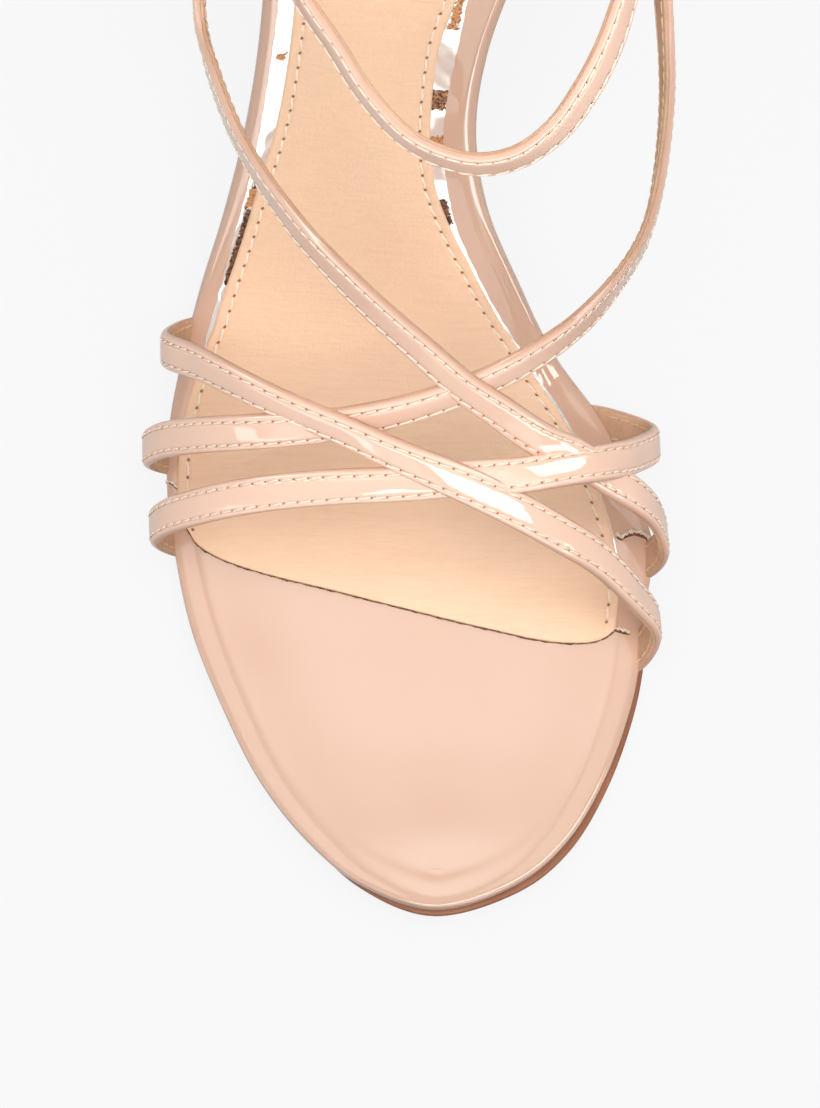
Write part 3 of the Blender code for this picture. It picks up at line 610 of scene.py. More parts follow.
class Graph:
    """The nodes of one material, or of the room round the shoe."""

    def __init__(self, tree: bpy.types.NodeTree, shader: str = "Principled BSDF") -> None:
        """Keeps the tree and its own shader."""
        self.tree = tree
        self.shader = tree.nodes[shader]

    def put(self, socket: bpy.types.NodeSocket, value: Any) -> None:
        """Links a value to a socket, or sets the socket.

        Args:
            socket: the socket to feed.
            value: a value of the graph, a number or a colour.
        """
        if isinstance(value, Value):
            self.tree.links.new(value.socket, socket)
        elif isinstance(value, tuple) and len(value) == 3 and socket.type == "RGBA":
            socket.default_value = (*value, 1.0)
        else:
            socket.default_value = value

    def node(self, kind: str, settings: dict[str, Any], inputs: dict[Any, Any], output: Any = 0) -> Value:
        """Adds a node.

        Args:
            kind: Blender's name for the type of node.
            settings: the node's own settings, such as a Math node's operation.
            inputs: the values or links of its sockets, by name or number.
            output: the name or number of the output that is wanted.

        Returns:
            That output of the new node.
        """
        node = self.tree.nodes.new(kind)
        for name, value in settings.items():
            setattr(node, name, value)
        for key, value in inputs.items():
            self.put(node.inputs[key], value)
        return Value(self, node.outputs[output])

    def math(self, operation: str, *values: Number) -> Value:
        """A Math node on one value or two."""
        return self.node("ShaderNodeMath", {"operation": operation}, dict(enumerate(values)))

    def mix(self, share: Number, first: Any, second: Any) -> Value:
        """A colour that is one of two, or so much of the second."""
        return self.node("ShaderNodeMix", {"data_type": "RGBA"}, {0: share, 6: first, 7: second}, 2)

    def place(self, stretch: Triple = (1.0, 1.0, 1.0)) -> Value:
        """The place on the object, stretched along its axes."""
        source = self.node("ShaderNodeTexCoord", {}, {}, "Object")
        return self.node("ShaderNodeMapping", {}, {0: source, 3: stretch})

    def surface(self) -> tuple[Value, Value]:
        """The piece's own UV map: across and along."""
        across = self.node("ShaderNodeSeparateXYZ", {}, {0: self.node("ShaderNodeUVMap", {}, {})})
        return across, across.beside(1)

    def facing(self, way: Value, direction: Triple) -> Value:
        """How nearly a way points along a direction: 1 along it, 0 across it."""
        settings = {"operation": "DOT_PRODUCT"}
        return self.node("ShaderNodeVectorMath", settings, {0: way, 1: direction}, "Value")

    def noise(self, where: Value, scale: float, detail: float = 2.0, roughness: float = 0.5) -> Value:
        """Soft noise from 0 to 1, with so many waves to a unit of the place."""
        inputs = {"Vector": where, "Scale": scale, "Detail": detail, "Roughness": roughness}
        return self.node("ShaderNodeTexNoise", {}, inputs)

    def cells(self, where: Value, scale: float) -> Value:
        """The distance to the nearest of scattered points."""
        return self.node("ShaderNodeTexVoronoi", {}, {"Vector": where, "Scale": scale}, "Distance")

    def relief(self, height: Value, depth: float) -> None:
        """Raises the surface by a height times a depth in millimetres."""
        inputs = {"Height": height, "Distance": depth * MM, "Strength": 1.0}
        self.shade(Normal=self.node("ShaderNodeBump", {}, inputs))

    def shade(self, **values: Any) -> None:
        """Sets the shader's sockets; names have underscores for spaces."""
        for name, value in values.items():
            self.put(self.shader.inputs[name.replace("_", " ")], value)

    def needle_holes(self, across: Value, along: Value, row: float, pitch: float, size: float) -> Value:
        """A mask of needle holes along stitch rows.

        Args:
            across: the distance from the middle between the rows, in millimetres.
            along: the distance along the rows, in millimetres.
            row: how far each row is from the middle.
            pitch: from hole to hole.
            size: the radius of a hole.

        Returns:
            1 in the holes, 0 elsewhere.
        """
        turn = along / pitch
        near = (turn - self.math("ROUND", turn)) * pitch
        off = abs(across) - row
        away = self.math("SQRT", near * near + off * off)
        return away.step(size * 1.35, size * 0.55)


MADE: dict[str, bpy.types.Material] = {}


@dataclass(frozen=True)
class Finish:
    """A procedural material, made once and worn by several pieces."""

    name: str
    slot: str

    def paint(self, graph: Graph) -> None:
        """Lays out the nodes of the material."""
        raise NotImplementedError

    def dress(self, piece: Piece) -> None:
        """Gives the finish to a piece.

        Args:
            piece: the piece that wears it.
        """
        if self.name not in MADE:
            MADE[self.name] = bpy.data.materials.new(self.name)
            MADE[self.name].use_nodes = True
            self.paint(Graph(MADE[self.name].node_tree))
        piece.data.materials.clear()
        piece.data.materials.append(MADE[self.name])


@dataclass(frozen=True)
class Patent(Finish):
    """Nude patent leather: a clear glossy film over a softly mottled pink."""

    # The default tone, plain_patent's, is darker than the straps' as painted shade that offsets the strong
    # light on the toe.
    tone: Colour = (0.60, 0.387, 0.285)
    warm: Colour = (0.575, 0.36, 0.255)
    # hole is the painted shade in the needle holes; rim is painted shade along the stitch rows and, partly
    # edge dye, on the rolled strap edges.
    hole: Colour = (0.26, 0.09, 0.045)
    rim: Colour = (0.54, 0.295, 0.20)
    stitch_row: float = 0.0
    pitch: float = 2.5
    wave: float = 0.012

    def paint(self, graph: Graph) -> None:
        """Mottled colour, dust, a wavy clear film and, on sewn pieces, needle holes painted dark as shade and
        painted shade along the stitch rows and strap edges.

        Args:
            graph: the material\'s nodes.
        """
        where = graph.place()
        mottle = graph.noise(where, 55.0, 3.0)
        colour = graph.mix(mottle.step(0.30, 0.80) * 0.18, self.tone, self.warm)
        speck = graph.cells(where, 300.0).step(0.06, 0.02) * graph.noise(where, 90.0).step(0.60, 0.70)
        colour = graph.mix(speck * 0.35, colour, (0.55, 0.32, 0.24))
        height = graph.noise(where, 70.0, 2.0, 0.4) + graph.noise(where, 300.0, 2.0) * 0.08
        film = 1.0 - speck * 0.6
        if self.stitch_row:
            across, along = graph.surface()
            holes = graph.needle_holes(across, along, self.stitch_row, self.pitch, 0.19)
            # Painted thread shadow: a darker tint in the rim colour beside each stitch row.
            seam = abs(abs(across) - self.stitch_row).step(0.42, 0.10)
            colour = graph.mix(seam * 0.35, colour, self.rim)
            # Painted shade on the rolled strap edges, partly edge dye: darker where the edges turn down, away
            # from the light.
            colour = graph.mix(abs(across).step(2.45, 3.15) * 0.75, colour, self.rim)
            # Needle holes painted dark: painted shade in the holes.
            colour = graph.mix(holes * 0.85, colour, self.hole)
            film = film * (1.0 - holes * 0.8)
        graph.shade(
            Base_Color=colour,
            Roughness=0.5,
            Specular_IOR_Level=0.0,
            Coat_Weight=film,
            Coat_Roughness=0.02,
            Coat_IOR=1.55,
        )
        graph.relief(height, self.wave)


@dataclass(frozen=True)
class SockLeather(Finish):
    """Matte peach lining leather with a fine grain and sewn borders."""

    tone: Colour = (0.83, 0.56, 0.375)
    pale: Colour = (0.84, 0.605, 0.43)
    edge: Colour = (0.30, 0.13, 0.06)
    hole: Colour = (0.22, 0.085, 0.035)
    stitch_row: float = 0.0
    pitch: float = 2.9

    def paint(self, graph: Graph) -> None:
        """Cloudy colour, a creased grain with painted shade in its creases, needle holes painted dark as
        shade and a dyed front edge.

        Args:
            graph: the material\'s nodes.
        """
        where = graph.place()
        clouds = graph.noise(where, 28.0, 3.0)
        colour = graph.mix(clouds.step(0.40, 0.72) * 0.4, self.tone, self.pale)
        crease = graph.noise(graph.place((200.0, 1500.0, 1500.0)), 1.0, 4.0, 0.6)
        pores = graph.cells(where, 1500.0).step(0.0, 0.55)
        grain = crease * 0.85 + pores * 0.15
        # Painted shade: the grain's creases are darkened where its relief is lowest.
        colour = graph.mix(crease.step(0.56, 0.36) * 0.14, colour, (0.70, 0.41, 0.25))
        if self.stitch_row:
            inside, along = graph.surface()
            holes = graph.needle_holes(inside, along, self.stitch_row, self.pitch, 0.27)
            # A slightly deeper tone along the stitch line, and needle holes painted dark: painted shade in
            # the holes.
            colour = graph.mix(abs(inside - self.stitch_row).step(0.6, 0.1) * 0.22, colour, self.tone)
            colour = graph.mix(holes * 0.95, colour, self.hole)
            colour = graph.mix(inside.step(0.24, 0.06) * 0.5, colour, self.edge)
        graph.shade(Base_Color=colour, Roughness=0.52 + grain * 0.12, IOR=1.45, Specular_IOR_Level=0.35)
        graph.relief(grain, 0.16)


@dataclass(frozen=True)
class Lining(Finish):
    """The straps' golden tan lining."""

    tone: Colour = (0.60, 0.38, 0.245)
    dark: Colour = (0.41, 0.235, 0.13)

    def paint(self, graph: Graph) -> None:
        """A cloudy tan with a short nap.

        Args:
            graph: the material\'s nodes.
        """
        where = graph.place()
        nap = graph.noise(where, 1600.0, 3.0, 0.7)
        clouds = graph.noise(where, 120.0, 2.0)
        colour = graph.mix(clouds.step(0.35, 0.75) * 0.5 + nap.step(0.6, 0.3) * 0.3, self.tone, self.dark)
        graph.shade(Base_Color=colour, Roughness=0.60 + nap * 0.2, Specular_IOR_Level=0.3)
        graph.relief(nap, 0.05)


class Patch(NamedTuple):
    """A dark patch of the foil, a painted dark reflection: its middle and half length behind the toe, then
    across the strip.
    """

    back: float
    half: float
    across: float
    half_wide: float
    copper: float


@dataclass(frozen=True)
class Foil(Finish):
    """Rose gold mirror foil with painted reflections: a near-white base colour for bright light, and dark,
    partly coppery patches for dark surroundings.
    """

    # The near-white tone, with Metallic below 1, makes the foil partly a mirror and partly a painted
    # reflection of bright light.
    tone: Colour = (1.0, 0.96, 0.93)
    copper: Colour = (0.50, 0.22, 0.085)
    deep: Colour = (0.17, 0.065, 0.03)
    black: Colour = (0.02, 0.01, 0.006)
    patches: tuple[Patch, ...] = ()

    def paint(self, graph: Graph) -> None:
        """A mirror with ragged, crackled dark patches, some of them coppery, painted as dark reflections.

        Args:
            graph: the material\'s nodes.
        """
        across, along = graph.surface()
        where = graph.place()
        grit = graph.noise(where, 2300.0, 4.0, 0.75)
        ragged = (grit - 0.5) * 1.3 + (graph.noise(where, 800.0, 2.0) - 0.5) * 1.1
        dull: Number = 0.0
        warm: Number = 0.0
        for patch in self.patches:
            beyond = abs(along - patch.back) - patch.half
            aside = (abs(across - patch.across) - patch.half_wide) * 1.8
            here = (graph.math("MAXIMUM", beyond, aside) + ragged).step(0.06, -0.06)
            dull = graph.math("MAXIMUM", dull, here)
            warm = graph.math("MAXIMUM", warm, here * patch.copper)
        crackle = (grit + warm * 0.26).step(0.58, 0.74)
        # The patches' dark and coppery colour is a painted dark reflection.
        dark_reflection = graph.mix(graph.noise(where, 1700.0, 2.0).step(0.42, 0.58), self.black, self.deep)
        colour = graph.mix(dull, self.tone, graph.mix(crackle, dark_reflection, self.copper))
        graph.shade(Base_Color=colour, Metallic=0.6 - dull * 0.4, Roughness=0.10 + dull * 0.35)
        graph.relief(graph.noise(where, 260.0, 2.0) + grit * dull * 0.5, 0.03)


@dataclass(frozen=True)
class Thread(Finish):
    """Sewing thread, twisted from two plies."""

    tone: Colour = (0.95, 0.82, 0.68)
    shade_tone: Colour = (0.62, 0.42, 0.29)

    def paint(self, graph: Graph) -> None:
        """Plies that wind round the thread, darker between them.

        Args:
            graph: the material\'s nodes.
        """
        around, along = graph.surface()
        turn = (around * 2.0 + along * 3.0) * (2.0 * math.pi)
        ply = graph.math("SINE", turn) * 0.5 + 0.5
        fuzz = graph.noise(graph.place(), 4000.0, 2.0)
        colour = graph.mix((1.0 - ply) * 0.22 + fuzz * 0.10, self.tone, self.shade_tone)
        graph.shade(Base_Color=colour, Roughness=0.45 + fuzz * 0.2, Specular_IOR_Level=0.4)
        graph.relief(ply, 0.06)


@dataclass(frozen=True)
class Fibre(Finish):
    """A raw cut edge: loose fibres of one colour."""

    tone: Colour = (0.95, 0.90, 0.84)
    deep: Colour = (0.70, 0.55, 0.42)

    def paint(self, graph: Graph) -> None:
        """Fibres with dark roots.

        Args:
            graph: the material\'s nodes.
        """
        fibre = graph.noise(graph.place(), 2600.0, 3.0, 0.7)
        colour = graph.mix(fibre.step(0.42, 0.66), self.deep, self.tone)
        graph.shade(Base_Color=colour, Roughness=0.75 + fibre * 0.2, Specular_IOR_Level=0.2)
        graph.relief(fibre, 0.10)


@dataclass(frozen=True)
class SoleResin(Finish):
    """The outsole's smooth brown resin, its edge a little worn."""

    tone: Colour = (0.26, 0.088, 0.034)
    pale: Colour = (0.36, 0.145, 0.066)

    def paint(self, graph: Graph) -> None:
        """Brown with faint streaks along the edge.

        Args:
            graph: the material\'s nodes.
        """
        streak = graph.noise(graph.place((60.0, 60.0, 900.0)), 1.0, 3.0)
        clouds = graph.noise(graph.place(), 70.0, 3.0)
        colour = graph.mix(streak.step(0.4, 0.75) * 0.5 + clouds * 0.15, self.tone, self.pale)
        graph.shade(Base_Color=colour, Roughness=0.32 + clouds * 0.15, Specular_IOR_Level=0.3)
        graph.relief(streak * 0.4 + graph.noise(graph.place(), 1500.0, 2.0) * 0.3, 0.03)


@dataclass(frozen=True)
class TipRubber(Finish):
    """The heel tip's hard rubber."""

    tone: Colour = (0.30, 0.16, 0.10)
    worn: Colour = (0.42, 0.26, 0.18)

    def paint(self, graph: Graph) -> None:
        """Fine speckle with scuffs.

        Args:
            graph: the material\'s nodes.
        """
        where = graph.place()
        speckle = graph.noise(where, 2200.0, 3.0)
        scuff = graph.noise(where, 260.0, 3.0).step(0.55, 0.75)
        colour = graph.mix(scuff * 0.5 + speckle * 0.15, self.tone, self.worn)
        graph.shade(Base_Color=colour, Roughness=0.50 + speckle * 0.2)
        graph.relief(speckle, 0.04)


@dataclass(frozen=True)
class BuckleMetal(Finish):
    """Polished rose gold plate with fine wipe marks."""

    tone: Colour = (0.93, 0.68, 0.56)
    deep: Colour = (0.80, 0.50, 0.38)

    def paint(self, graph: Graph) -> None:
        """A mirror with faint scratches.

        Args:
            graph: the material\'s nodes.
        """
        wipe = graph.noise(graph.place((300.0, 2600.0, 600.0)), 1.0, 3.0)
        clouds = graph.noise(graph.place(), 200.0, 2.0)
        colour = graph.mix(clouds.step(0.4, 0.8) * 0.4, self.tone, self.deep)
        graph.shade(Base_Color=colour, Metallic=1.0, Roughness=0.12 + wipe.step(0.5, 0.8) * 0.14)
        graph.relief(wipe, 0.01)


@dataclass(frozen=True)
class FloorPaper(Finish):
    """The plain pale paper that the shoe stands on."""

    tone: Colour = (0.05, 0.05, 0.05)
    glow: float = 0.87

    def paint(self, graph: Graph) -> None:
        """Flat paper, lit evenly from below as on a light table.

        Args:
            graph: the material\'s nodes.
        """
        fibre = graph.noise(graph.place(), 600.0, 2.0)
        colour = graph.mix(fibre * 0.3, self.tone, (0.045, 0.045, 0.045))
        graph.shade(
            Base_Color=colour,
            Roughness=0.9,
            Specular_IOR_Level=0.1,
            Emission_Color=(1.0, 1.0, 1.0),
            Emission_Strength=self.glow,
        )


# The three patents stand for one nude leather; their tones are painted shade and light: plain_patent is
# darker to offset the strong light on the toe, sewn_patent and cover_patent are lighter for the straps,
# counter and heel.
PLAIN_PATENT = Patent("plain_patent", "patent")
SEWN_PATENT = Patent(
    "sewn_patent", "patent", tone=(0.84, 0.565, 0.435), warm=(0.80, 0.515, 0.38), stitch_row=1.9
)
COVER_PATENT = Patent("cover_patent", "patent", tone=(0.78, 0.53, 0.41), warm=(0.74, 0.485, 0.36))
SOCK_LEATHER = SockLeather("sock_leather", "sock", stitch_row=2.15)
COUNTER_LEATHER = SockLeather("counter_leather", "sock")
STRAP_LINING = Lining("strap_lining", "sock")
# The foils' patches are painted dark reflections, at listed places.
OUTER_FOIL = Foil(
    "outer_foil",
    "buckle",
    patches=(
        Patch(108.7, 5.8, 0.62, 0.36, 0.1),
        Patch(116.0, 1.3, 0.60, 0.40, 1.0),
        Patch(118.4, 1.0, 0.66, 0.30, 0.2),
        Patch(136.7, 0.5, 0.40, 0.20, 1.0),
    ),
)
INNER_FOIL = Foil(
    "inner_foil",
    "buckle",
    patches=(
        Patch(108.0, 4.2, 0.86, 0.10, 0.3),
        Patch(113.7, 1.8, 0.62, 0.38, 0.1),
        Patch(123.8, 1.0, 0.45, 0.60, 0.9),
        Patch(130.0, 1.4, 0.45, 0.60, 0.5),
        Patch(142.6, 2.3, 0.48, 0.28, 0.8),
    ),
)
CREAM_THREAD = Thread("cream_thread", "sock")
TAN_THREAD = Thread("tan_thread", "sock", tone=(0.74, 0.52, 0.34), shade_tone=(0.45, 0.26, 0.15))
FRAYED_COTTON = Fibre("frayed_cotton", "sock")
# cut_edge is the sock's dyed cut edge and also the painted shadow under the slits' lips.
CUT_EDGE_AND_GAP_SHADOW = Fibre("cut_edge", "sole", tone=(0.34, 0.16, 0.08), deep=(0.10, 0.035, 0.015))
BROWN_RESIN = SoleResin("brown_resin", "sole")
TIP_RUBBER = TipRubber("tip_rubber", "tip")
ROSE_METAL = BuckleMetal("rose_metal", "buckle")


def settle(piece: Piece, finish: Finish, *nodes: str, degrees: float = 50.0) -> None:
    """Shades a piece, dresses it and sets it on the shoe.

    Args:
        piece: the finished piece.
        finish: what it is made of.
        nodes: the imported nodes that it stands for.
        degrees: edges that turn more than this stay sharp.
    """
    Bench.soft_shade(piece, degrees)
    finish.dress(piece)
    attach(piece, BODY)
    if nodes:
        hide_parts(*nodes)
    LOG.info("%s: %d faces", piece.name, len(piece.data.polygons))


# Stitches


@dataclass(frozen=True)
class Stitch:
    """One visible stitch: a short thread that dips into its two needle holes."""

    length: float
    half_thick: float
    slant: float
    dip: float = 0.55
    fattest: float = 1.6

    def model(self) -> Piece:
        """Models one stitch at the origin, along x, with its top up z.

        Returns:
            The stitch.
        """
        Bench.clear()
        bpy.ops.mesh.primitive_uv_sphere_add(segments=8, ring_count=6, radius=1.0, calc_uvs=True)
        piece = bpy.context.object
        piece.name = "stitch"
        bpy.ops.object.mode_set(mode="EDIT")
        bpy.ops.mesh.select_all(action="SELECT")
        bpy.ops.transform.rotate(value=math.pi / 2, orient_axis="Y", center_override=(0.0, 0.0, 0.0))
        bpy.ops.object.mode_set(mode="OBJECT")
        for vert in piece.data.vertices:
            x, y, z = vert.co
            end = min(abs(x), 0.999)
            blunt, ball = (1.0 - end**4) ** 0.25, math.sqrt(1.0 - end**2)
            fat = min(blunt / max(ball, 0.05), self.fattest)
            high = z * fat - self.dip * abs(x) ** 3
            vert.co = (x * self.length / 2, y * fat * self.half_thick, high * self.half_thick)
        piece.data.update()
        return piece

    def sew(self, name: str, spots: Array, along: Array, out: Array, finish: Finish) -> None:
        """Copies the stitch to each place of a seam.

        Args:
            name: the seam's name.
            spots: where the stitches are, in millimetres along the shoe.
            along: the seam's direction at each of them.
            out: the way up from the sewn face at each of them.
            finish: the thread.
        """
        pattern = self.model()
        across = np.cross(out, along)
        lean = math.tan(math.radians(self.slant))
        copies = []
        for spot, run, side, up in zip(to_scene(spots), unit(along), unit(across), unit(out)):
            turned = unit(run + side * lean)
            matrix = np.eye(4)
            matrix[:3, :3] = np.stack([turned, np.cross(up, turned), up], axis=1) * MM
            matrix[:3, 3] = spot
            mesh = pattern.data.copy()
            mesh.transform(Matrix(matrix))
            copy = bpy.data.objects.new(name, mesh)
            bpy.context.scene.collection.objects.link(copy)
            copies.append(copy)
        bpy.data.objects.remove(pattern)
        settle(Bench.gather(name, copies), finish)


# The sole


class Ring(NamedTuple):
    """A ring of a layer's edge: how far in from the outline and how deep."""

    inset: float
    depth: float


LIFT_FADE = (0.5, 3.5)


def layer_sheet(
    name: str,
    rings: Sequence[Ring],
    outs: dict[Side, Array],
    rungs: int,
    kept: Array,
    lift: Callable[[Array, Array], Array],
) -> Piece:
    """Makes a layer of the sole whose rounded edge runs round its outline.

    Args:
        name: the piece's name.
        rings: the edge from the top's inside, round the rim, to the bottom's inside.
        outs: how far the layer stands out past the outline, for each sample of each side.
        rungs: columns across the top and the bottom.
        kept: which samples of the outline the layer has.
        lift: how far the top is raised, from the distances to both edges and behind the toe.

    Returns:
        The closed layer.
    """
    spans = [[SOLE.inset(side, ring.inset - outs[side])[kept] for ring in rings] for side in Side]
    columns = []

    def rung(level: int, share: float) -> None:
        """Adds a column across the top or the bottom.

        Args:
            level: the number of its ring.
            share: how far across, from the outer side.
        """
        first, second = spans[0][level], spans[1][level]
        mid = first + (second - first) * share
        wide = np.linalg.norm(second - first, axis=1)
        near = np.stack([share * wide, (1.0 - share) * wide]) + rings[level].inset
        raised = lift(near, mid[:, 1]) if level == 0 else 0.0
        columns.append(SOLE.point(mid[:, 0], mid[:, 1], rings[level].depth - raised))

    def rim(side: int, level: int) -> None:
        """Adds a column along one side's edge.

        Args:
            side: 0 for the outer, 1 for the inner.
            level: the number of its ring.
        """
        edge, depth = spans[side][level], rings[level].depth
        far = np.linalg.norm(spans[1 - side][level] - edge, axis=1)
        near = np.stack([np.full(len(edge), rings[level].inset), far + rings[level].inset])
        fade = 1.0 - ease(*LIFT_FADE, depth - rings[0].depth)
        raised = lift(near if side == 0 else near[::-1], edge[:, 1]) * fade
        columns.append(SOLE.point(edge[:, 0], edge[:, 1], depth - raised))

    last = len(rings) - 1
    for share in np.linspace(0.5, 0.0, rungs // 2, endpoint=False):
        rung(last, share)
    for level in range(last, -1, -1):
        rim(0, level)
    for share in np.linspace(0.0, 1.0, rungs, endpoint=False)[1:]:
        rung(0, share)
    for level in range(last + 1):
        rim(1, level)
    for share in np.linspace(1.0, 0.5, rungs // 2 + 1)[1:]:
        rung(last, share)
    piece = Bench.sheet(name, np.stack(columns, axis=1), travel(SOLE.edges[Side.OUTER][kept]))
    Bench.close(piece)
    return piece


class Slit(NamedTuple):
    """A cut in the footbed's wrap: how thick its frayed lip is, and its x, back and rise."""

    name: str
    lip: float
    points: tuple[Triple, ...]


ANKLE_CUT = (
    (34.3, 62.4, 0.0),
    (35.1, 61.9, 0.0),
    (35.9, 62.4, 0.05),
    (37.4, 62.8, 0.1),
    (39.1, 62.3, 0.5),
    (40.2, 61.1, 0.9),
    (40.6, 59.6, 0.6),
    (40.4, 58.2, 0.0),
)


@dataclass
class Footbed:
    """The insole board, wrapped in patent, with cut slits where straps run in."""

    crown: float = 0.9
    crown_reach: float = 13.0
    ripple: float = 0.02
    bulge: float = 1.1
    bulge_back: float = 61.0
    bulge_reach: float = 5.5
    toe_fade: Pair = (44.0, 78.0)
    tight_from: Pair = (72.0, 90.0)
    ripple_from: Pair = (78.0, 92.0)
    ripple_to: Pair = (126.0, 140.0)
    ripple_in: Pair = (4.0, 8.0)
    slits: tuple[Slit, ...] = (
        Slit("toe_slit", 0.30, ((33.5, 46.8, 0.0), (34.9, 46.5, 0.0), (36.5, 46.0, 0.0))),
        Slit("outer_slit", 0.15, ((-40.7, 71.0, -0.4), (-39.7, 70.7, 0.0), (-38.7, 69.7, 0.0))),
        Slit("ankle_slit", 0.32, ANKLE_CUT),
    )
    rim_reach: float = 5.0
    rim_drop: float = 1.3
    waist_reach: float = 3.5
    waist_drop: float = 2.0
    insets: tuple[float, ...] = (
        6.2, 5.0, 4.5, 4.0, 3.5, 3.0, 2.55, 2.1, 1.7, 1.35, 1.0, 0.7, 0.45, 0.25, 0.1, 0.02,
    )
    under: tuple[Ring, ...] = (
        Ring(0.0, 3.0),
        Ring(0.05, 3.5),
        Ring(0.2, 4.05),
        Ring(0.5, 4.5),
        Ring(1.0, 4.82),
        Ring(1.7, 4.97),
        Ring(2.6, 5.0),
    )

    @staticmethod
    def roll(inset: Any, reach: float, drop: float) -> Array:
        """How far a rolled edge has dropped, at a distance in from it."""
        share = np.clip(1.0 - np.asarray(inset, float) / reach, 0.0, 1.0)
        return drop * (1.0 - np.sqrt(1.0 - share**2))

    def rim_depth(self, inset: Any) -> Array:
        """How far the toe's top has rolled down, at a distance in from the edge."""
        return self.roll(inset, self.rim_reach, self.rim_drop)

    def lift(self, near: Array, back: Array) -> Array:
        """How far the top is raised: a crown over the toe, a tighter roll and ripples in the waist.

        Args:
            near: the distance from the outer and from the inner edge.
            back: behind the toe tip.

        Returns:
            The lift at each place.
        """
        dome = np.prod(1.0 - bell(near, self.crown_reach), axis=0)
        toe = 1.0 - ease(*self.toe_fade, back)
        inset = near.min(axis=0)
        tight = self.rim_depth(inset) - self.roll(inset, self.waist_reach, self.waist_drop)
        waves = np.sin(back * 0.19 + near[1] * 1.5) + 0.7 * np.sin(back * 0.31 + 1.0 - near[1] * 1.1)
        waist = ease(*self.ripple_from, back) * (1.0 - ease(*self.ripple_to, back))
        waist = waist * (1.0 - ease(*self.ripple_in, near[1]))
        return self.crown * dome * toe + tight * ease(*self.tight_from, back) + self.ripple * waves * waist

    def top(self, x: Any, back: Any) -> Array:
        """The depth of the wrapped top, with its crown, ripples and rolled rim.

        Args:
            x: across the shoe.
            back: behind the toe tip.

        Returns:
            The depth below the plain footbed.
        """
        x, back = np.broadcast_arrays(np.asarray(x, float), np.asarray(back, float))
        near = np.stack([x - SOLE.edge_x(Side.OUTER, back), SOLE.edge_x(Side.INNER, back) - x])
        return self.rim_depth(near.min(axis=0)) - self.lift(np.maximum(near, 0.0), back)

    def above(self, x: Any, back: Any, rise: Any) -> Array:
        """The place at a height above the wrapped top."""
        return SOLE.point(x, back, self.top(x, back) - rise)

    def build(self) -> None:
        """Makes the wrapped board."""
        outs = {side: np.zeros(len(SOLE.edges[side])) for side in Side}
        outs[Side.INNER] = self.bulge * bell(SOLE.edges[Side.INNER][:, 1] - self.bulge_back, self.bulge_reach)
        kept = np.ones(len(outs[Side.OUTER]), bool)
        rings = [Ring(inset, float(self.rim_depth(inset))) for inset in self.insets]
        piece = layer_sheet("footbed_wrap", [*rings, *self.under], outs, 24, kept, self.lift)
        settle(piece, PLAIN_PATENT, "footbed")
        self.build_slits()

    def build_slits(self) -> None:
        """Frays the wrap's cut edges where straps run in, each over a dark tube that is a painted shadow
        under its lip.
        """
        for slit in self.slits:
            line = smooth(slit.points, 14)
            x, back, rise = line.T
            stops = travel(line)
            fray = slit.lip * (1.0 + 0.3 * np.sin(stops * 7.0) + 0.2 * np.sin(stops * 17.0 + 1.0))
            lip = self.above(x, back, rise + slit.lip * 0.8 + 0.06 * np.sin(stops * 5.0))
            settle(tube(f"{slit.name}_fray", lip, fray, 8, closed=False), FRAYED_COTTON)
            # A dark tube under each lip: a painted shadow of the cut.
            gap_shadow = SOLE.point(x, back - slit.lip - 0.14, self.top(x, back) - rise - 0.02)
            size = slit.lip * np.sin(np.linspace(0.4, 2.7, len(gap_shadow)))
            settle(tube(f"{slit.name}_gap", gap_shadow, size, 8, closed=False), CUT_EDGE_AND_GAP_SHADOW)


FOOTBED = Footbed()


@dataclass
class Outsole:
    """The thin brown outsole; its rim shows round the toe and along the inner side."""

    end: float = 168.0
    top: float = 5.15
    overhang: tuple[Sides, ...] = (
        Sides(0.0, 0.45, 0.45),
        Sides(12.0, -0.8, 1.1),
        Sides(40.0, -0.8, 1.0),
        Sides(60.0, -1.2, -0.6),
        Sides(90.0, -1.8, -1.8),
        Sides(170.0, -2.2, -2.2),
    )
    rings: tuple[Ring, ...] = (
        Ring(3.0, 0.0),
        Ring(0.7, 0.0),
        Ring(0.3, 0.08),
        Ring(0.08, 0.25),
        Ring(0.0, 0.6),
        Ring(0.02, 1.2),
        Ring(0.15, 1.8),
        Ring(0.45, 2.3),
        Ring(0.9, 2.58),
        Ring(2.2, 2.65),
    )

    def build(self) -> None:
        """Makes the outsole as far as the heel's breast."""
        outs = {side: read(self.overhang, side.name.lower(), SOLE.edges[side][:, 1]) for side in Side}
        kept = SOLE.edges[Side.OUTER][:, 1] < self.end
        rings = [Ring(ring.inset, ring.depth + self.top) for ring in self.rings]
        piece = layer_sheet("outsole_rim", rings, outs, 16, kept, lambda near, back: np.zeros(len(back)))
        settle(piece, BROWN_RESIN, "outsole")


class Front(NamedTuple):
    """The sock's front edge: the share across the foot and the distance behind the toe."""

    across: float
    back: float


